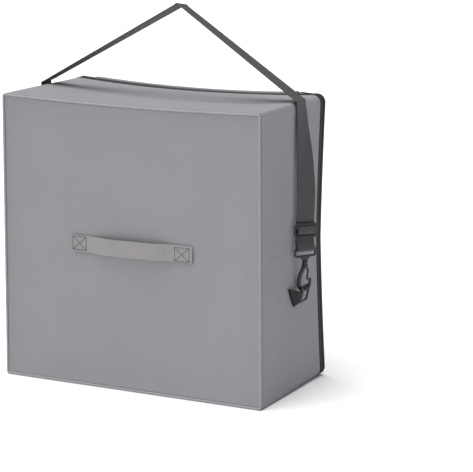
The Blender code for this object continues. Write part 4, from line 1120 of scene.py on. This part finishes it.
def moulded_loop(half_width, low, high, corner, bar, thickness):
    """A moulded frame: a soft square profile carried round a rectangle."""
    path = rounded_line(half_width, low, high, corner)
    side, up = frames(path, (0.0, 0.0, 1.0), closed=True)
    section = round_section(1.0, 16, power=3.2) * (thickness / 2, bar / 2)
    return swept(path, section, side, up, closed=True)


def moulded_bar(start, stop, bar, thickness):
    path = np.linspace((*start, 0.0), (*stop, 0.0), 9)
    side, up = frames(path, (0.0, 0.0, 1.0))
    return swept(path, round_section(1.0, 16, power=3.2) * (thickness / 2, bar / 2), side, up)


def turned(profile, cells=28):
    """A solid of revolution about its own up axis, from (radius, height) pairs."""
    profile = np.asarray(profile, float)
    path = np.stack([np.zeros(len(profile)), profile[:, 1], np.zeros(len(profile))], -1)
    ring = round_section(1.0, cells)
    section = ring[None] * np.maximum(profile[:, 0], 1e-5)[:, None, None]
    side = np.broadcast_to((1.0, 0.0, 0.0), path.shape)
    up = np.broadcast_to((0.0, 0.0, 1.0), path.shape)
    return swept(path, section, side, up)


HOOK_LINE = np.array([
    (-0.20, 0.914, 1.05), (-0.50, 0.753, 1.05), (-0.86, 0.519, 1.05), (-1.02, 0.312, 1.05),
    (-1.00, 0.156, 1.00), (-0.62, 0.031, 0.95), (0.00, 0.000, 0.93), (0.60, 0.036, 0.90),
    (0.92, 0.156, 0.84), (1.00, 0.325, 0.76), (0.97, 0.455, 0.66),
])


def build_hooks():
    bar = np.array([BAG_WIDTH / 2 + HOOK_OUT, HOOK_BACK, HOOK_HEIGHT])
    down = unit(np.array(HOOK_DOWN))
    loop_axes = axes_at(HANG[0, 3], down)
    hook_axes = axes_at(HOOK_TURN_DEG, down)
    inner = STRAP_WIDTH / 2 + SLOT_SPARE
    foot = -LOOP_BAR * 1.5 - LOOP_SLOT
    neck_foot = foot - NECK_LENGTH
    loop = moulded_loop(inner + LOOP_BAR / 2, foot + LOOP_BAR / 2, 0.0, 0.0030, LOOP_BAR, LOOP_THICKNESS)
    t = np.linspace(0.0, 1.0, 17)
    path = np.stack([np.zeros(17), foot + LOOP_BAR * 0.6 + t * (neck_foot - foot - LOOP_BAR * 0.6),
                     np.zeros(17)], -1)
    half_width = 0.5 * (NECK_TOP * 1.25 + (NECK_FOOT - NECK_TOP * 1.25) * smooth(t * 1.05) ** 0.8)
    half_depth = LOOP_THICKNESS / 2 * (1.0 + 0.25 * t)
    section = round_section(1.0, 20, power=3.0)[None] * np.stack([half_width, half_depth], -1)[:, None]
    neck = swept(path, section, np.broadcast_to((1.0, 0, 0), path.shape),
                 np.broadcast_to((0, 0, 1.0), path.shape))
    top = neck_foot + BARREL_LAP
    base = top - BARREL_LENGTH
    barrel = turned([(0.0, top), (BARREL_RADIUS * 0.72, top), (BARREL_RADIUS * 0.95, top - 0.0006),
                     (BARREL_RADIUS, top - 0.0014), (BARREL_RADIUS, base + 0.0022),
                     (BARREL_RADIUS * 0.93, base + 0.0018),
                     (BARREL_RADIUS * 0.93, base + 0.0012), (BARREL_RADIUS, base + 0.0008),
                     (BARREL_RADIUS * 0.97, base), (0.0, base)])
    loop = laid(together(loop, neck, barrel), bar, loop_axes)
    head_top = base - CLEARANCE
    head_foot = head_top - HEAD_LENGTH
    head = turned([(0.0, head_top), (HEAD_RADIUS * 0.94, head_top), (HEAD_RADIUS, head_top - 0.0005),
                   (HEAD_RADIUS, head_foot + 0.0012), (HEAD_RADIUS * 0.90, head_foot + 0.0002),
                   (0.0, head_foot)])
    bend = head_top - HOOK_LENGTH
    line = fair(HOOK_LINE, 8)
    path = np.column_stack([line[:, 0] * HOOK_HALF, bend + line[:, 1] * HOOK_LENGTH, np.zeros(len(line))])
    tip = np.sqrt(np.clip(1.0 - np.clip((np.arange(len(line)) - len(line) + 6) / 5.6, 0, 1) ** 2, 0.03, 1))
    thick = line[:, 2] * HOOK_WIRE * tip
    side, up = frames(path, (0.0, 0.0, 1.0))
    section = round_section(1.0, 18, power=2.5)[None] * np.stack([thick * 0.96, thick], -1)[:, None]
    hook = laid(together(swept(path, section, side, up), head), bar, hook_axes)
    tip_side, tip_rise, tip_thick = HOOK_LINE[-1]
    tip_top = bend + tip_rise * HOOK_LENGTH
    gate_side = tip_side * HOOK_HALF - tip_thick * HOOK_WIRE - CLEARANCE - GATE_WIRE * 1.15
    gate_top = head_foot - GATE_GAP
    pivot_side = 0.50 * HOOK_HALF
    drop = gate_top - tip_top
    gate_path = fair([
        (pivot_side, gate_top, 0.0), (pivot_side + 0.08 * HOOK_HALF, gate_top - 0.4 * drop, 0.0),
        (gate_side + CLEARANCE, gate_top - 0.8 * drop, 0.0), (gate_side, gate_top - 1.25 * drop, 0.0),
    ], 8)
    count = len(gate_path)
    t = np.linspace(0.0, 1.0, count)
    thick = GATE_WIRE * (1.0 - 0.12 * t) * np.sqrt(np.clip(1.03 - (2 * t - 1) ** 12, 0, 1))
    side, up = frames(gate_path, (0.0, 0.0, 1.0))
    gate = laid(swept(gate_path, round_section(1.0, 14)[None] * thick[:, None, None], side, up), bar,
                hook_axes)
    for word, turn in (("right", lambda form: form), ("left", flipped)):
        shape("loop_" + word, *turn(loop), PLASTIC, ["hook_loop_" + word], "black_plastic")
        shape("hook_" + word + "_shell", *turn(hook), PLASTIC, ["hook_body_" + word], "black_plastic",
              "hook_" + word)
        shape("gate_" + word + "_shell", *turn(gate), PLASTIC, ["hook_gate_" + word], "black_plastic",
              "gate_" + word)
    width, _, up = hook_axes
    return bar + (bend + HOOK_WIRE + 2 * CLEARANCE + RING_WIRE) * up + EYE_SIDE * width


def build_adjuster():
    """The three-bar slide on the right run of the strap, its ends rounded."""
    spot, width, outward = hang(HOOK_HEIGHT + SLIDE_ABOVE_BAR)
    bar = SLIDE_HEIGHT / 2 - SLIDE_BAR / 2 - SLIDE_SLOT
    side_bar = (SLIDE_WIDTH - STRAP_WIDTH) / 2 - SLOT_SPARE
    frame_loop = moulded_loop(SLIDE_WIDTH / 2 - side_bar / 2, -SLIDE_HEIGHT / 2 + bar / 2,
                              SLIDE_HEIGHT / 2 - bar / 2,
                              0.0040, min(bar, side_bar), SLIDE_THICKNESS)
    rails = [moulded_bar((-SLIDE_WIDTH / 2 + side_bar, y), (SLIDE_WIDTH / 2 - side_bar, y), wide,
                         SLIDE_THICKNESS)
             for y, wide in ((0.0, SLIDE_BAR), (SLIDE_HEIGHT / 2 - bar / 2, bar),
                             (-SLIDE_HEIGHT / 2 + bar / 2, bar))]
    form = laid(together(frame_loop, *rails), spot, (width, outward, np.array([0.0, 0.0, 1.0])))
    shape("adjuster_slide", *form, PLASTIC, ["strap_adjuster"], "black_plastic")


def side_surface(y, z):
    """X of the right wall's outer face."""
    point = np.stack(np.broadcast_arrays(BAG_WIDTH / 2, y, z), axis=-1)
    return settled(point)[..., 0]


def build_rings(eye):
    foot_height = HOOK_HEIGHT - RING_FOOT_BELOW
    foot_x = side_surface(eye[1], foot_height) + RING_FOOT_OUT + RING_WIRE + TAB_THICKNESS
    foot = np.array([foot_x, eye[1], foot_height])
    rise = eye - foot
    height = np.linalg.norm(rise)
    up = rise / height
    back = np.array([0.0, 1.0, 0.0])
    line = rounded_line(RING_WIDTH / 2, 0.0, height, RING_CORNER, 8)
    path = foot + (line[:, :1] + RING_WIDTH / 2 - RING_FORE) * back + line[:, 1:2] * up
    ring = swept(path, round_section(RING_WIRE, 14), *frames(path, (1.0, 0.0, 0.0), closed=True), closed=True)
    wrap = RING_WIRE + CLEARANCE + TAB_THICKNESS / 2
    low, high = RING_CORNER + TAB_FOOT_GAP, height - RING_CORNER - TAB_HEAD_GAP
    row = np.linspace(0.0, 1.0, 25)[:, None]
    bar = foot - RING_FORE * back + (low + row * (high - low)) * up
    sewn_z = bar[:, 2:] + (row - 0.5) * (TAB_SEWN_HEIGHT - (high - low))
    sewn_y = bar[:, 1:2] - TAB_LENGTH - (row - 0.5) * TAB_LEAN
    lie = 2 * CLEARANCE + TAB_THICKNESS / 2
    layer = TAB_THICKNESS + CLEARANCE
    share = np.linspace(0.0, 0.75, 15)[None, :]
    reach = bar[:, 1:2] - RING_WIRE - CLEARANCE - sewn_y
    y = sewn_y + share * reach
    z = sewn_z + share * (bar[:, 2:] - sewn_z)
    out = side_surface(y, z) + lie
    inner_x = out + smooth((share - 0.2) / 0.8) * np.maximum(bar[:, :1] - wrap - out, 0.0)
    outer_x = out + layer + smooth(share / 0.95) * (bar[:, :1] + wrap - out - layer)
    angle = np.radians(np.linspace(-90, 90, 15))[None, :]
    round_x, round_y = bar[:, :1] + wrap * np.sin(angle), bar[:, 1:2] + wrap * np.cos(angle)
    inner = np.stack([inner_x, y, z], -1)
    outer = np.stack([outer_x, y, z], -1)[:, ::-1]
    turn = np.stack([round_x, round_y, np.broadcast_to(bar[:, 2:], round_x.shape)], -1)
    middle = np.concatenate([inner, turn, outer], axis=1).transpose(1, 0, 2)
    du = np.gradient(middle, axis=0)
    dv = np.gradient(middle, axis=1)
    normal = unit(np.cross(du, dv))
    us, vs = np.linspace(0, 1, middle.shape[0]), np.linspace(0, 1, middle.shape[1])

    def place(u, v, w):
        return middle + normal * TAB_THICKNESS * (0.5 - w)

    tab = shell(us, vs, place, (0.045, 0.018))
    rows = []
    face = outer[:, ::-1]
    for column in (1, 6):
        rows.append(stitch_row(face[2:-2, column] + (TAB_THICKNESS / 2 + THREAD_PROUD, 0, 0), (1.0, 0, 0),
                               *TAB_STITCH))
    for k in (2, -3):
        rows.append(stitch_row(face[k, 1:7] + (TAB_THICKNESS / 2 + THREAD_PROUD, 0, 0), (1.0, 0, 0),
                               *TAB_STITCH))
    thread = together(*rows)
    for word, flip in (("right", lambda form: form), ("left", flipped)):
        shape("ring_wire_" + word, *flip(ring), METAL, ["ring_" + word], "ring_metal")
        shape("tab_web_" + word, *flip(tab), TAB_WEB, ["ring_tab_" + word], "ring_webbing")
        shape("tab_thread_" + word, *flip(thread), DARK_THREAD, [], "ring_webbing")


# ---------------------------------------------------------------- build it all

wall("base_cloth", 0, "bottom_wall", CLOTH)
wall("right_cloth", 1, "right_wall", SIDE_CLOTH)
wall("top_cloth", 2, "top_wall", CLOTH)
wall("left_cloth", 3, "left_wall", SIDE_CLOTH)
build_front()
build_seams()
build_zip()
build_lid()
build_window()
build_handle()
build_elastics()
build_rings(build_hooks())
build_adjuster()
build_strap()
build_strap_thread()


# ---------------------------------------------------------------- the studio

def studio():
    """A white floor, soft light mostly from above, and the camera at the photograph's angle."""
    scene = bpy.context.scene
    scene.view_settings.view_transform = "Standard"
    floor_mesh = bpy.data.meshes.new("floor")
    corners = [(x * FLOOR_REACH, y * FLOOR_REACH, 0) for x, y in ((-1, -1), (1, -1), (1, 1), (-1, 1))]
    floor_mesh.from_pydata(corners, [], [(0, 1, 2, 3)])
    floor = bpy.data.objects.new("floor", floor_mesh)
    scene.collection.objects.link(floor)
    paint = bpy.data.materials.new("white floor")
    paint.use_nodes = True
    coat = paint.node_tree.nodes["Principled BSDF"].inputs
    coat["Base Color"].default_value = FLOOR_WHITE
    coat["Roughness"].default_value = FLOOR_ROUGHNESS
    floor_mesh.materials.append(paint)
    floor.location = (0.0, 0.0, -FLOOR_DROP)
    world = bpy.data.worlds.new("studio")
    scene.world = world
    world.use_nodes = True
    sky = world.node_tree.nodes["Background"].inputs
    sky["Color"].default_value = SKY
    sky["Strength"].default_value = SKY_STRENGTH

    def lamp(name, kind, energy, spot, aim, **numbers):
        data = bpy.data.lights.new(name, kind)
        data.energy = energy
        for key, value in numbers.items():
            setattr(data, key, value)
        item = bpy.data.objects.new(name, data)
        item.location = spot
        direction = np.subtract(aim, spot)
        item.rotation_euler = (
            math.acos(-direction[2] / np.linalg.norm(direction)), 0.0,
            math.atan2(direction[1], direction[0]) - math.pi / 2)
        scene.collection.objects.link(item)
        return item

    lights = [
        lamp("overhead", "SUN", 3.4, (-0.3, -0.4, 3.0), (0.0, 0.0, 0.0), angle=math.radians(50)),
        lamp("front", "SUN", 0.9, (-1.6, -3.0, 1.3), (0.0, 0.0, 0.2), angle=math.radians(60)),
    ]
    camera_data = bpy.data.cameras.new("camera")
    camera_data.lens = SENSOR_WIDTH * FOCAL_PIXELS / PHOTO_WIDTH
    camera = bpy.data.objects.new("camera", camera_data)
    camera.location = CAMERA_PLACE
    camera.rotation_euler = (math.radians(90.0 - CAMERA_PITCH), 0.0, math.radians(CAMERA_TURN))
    scene.collection.objects.link(camera)
    scene.camera = camera


studio()
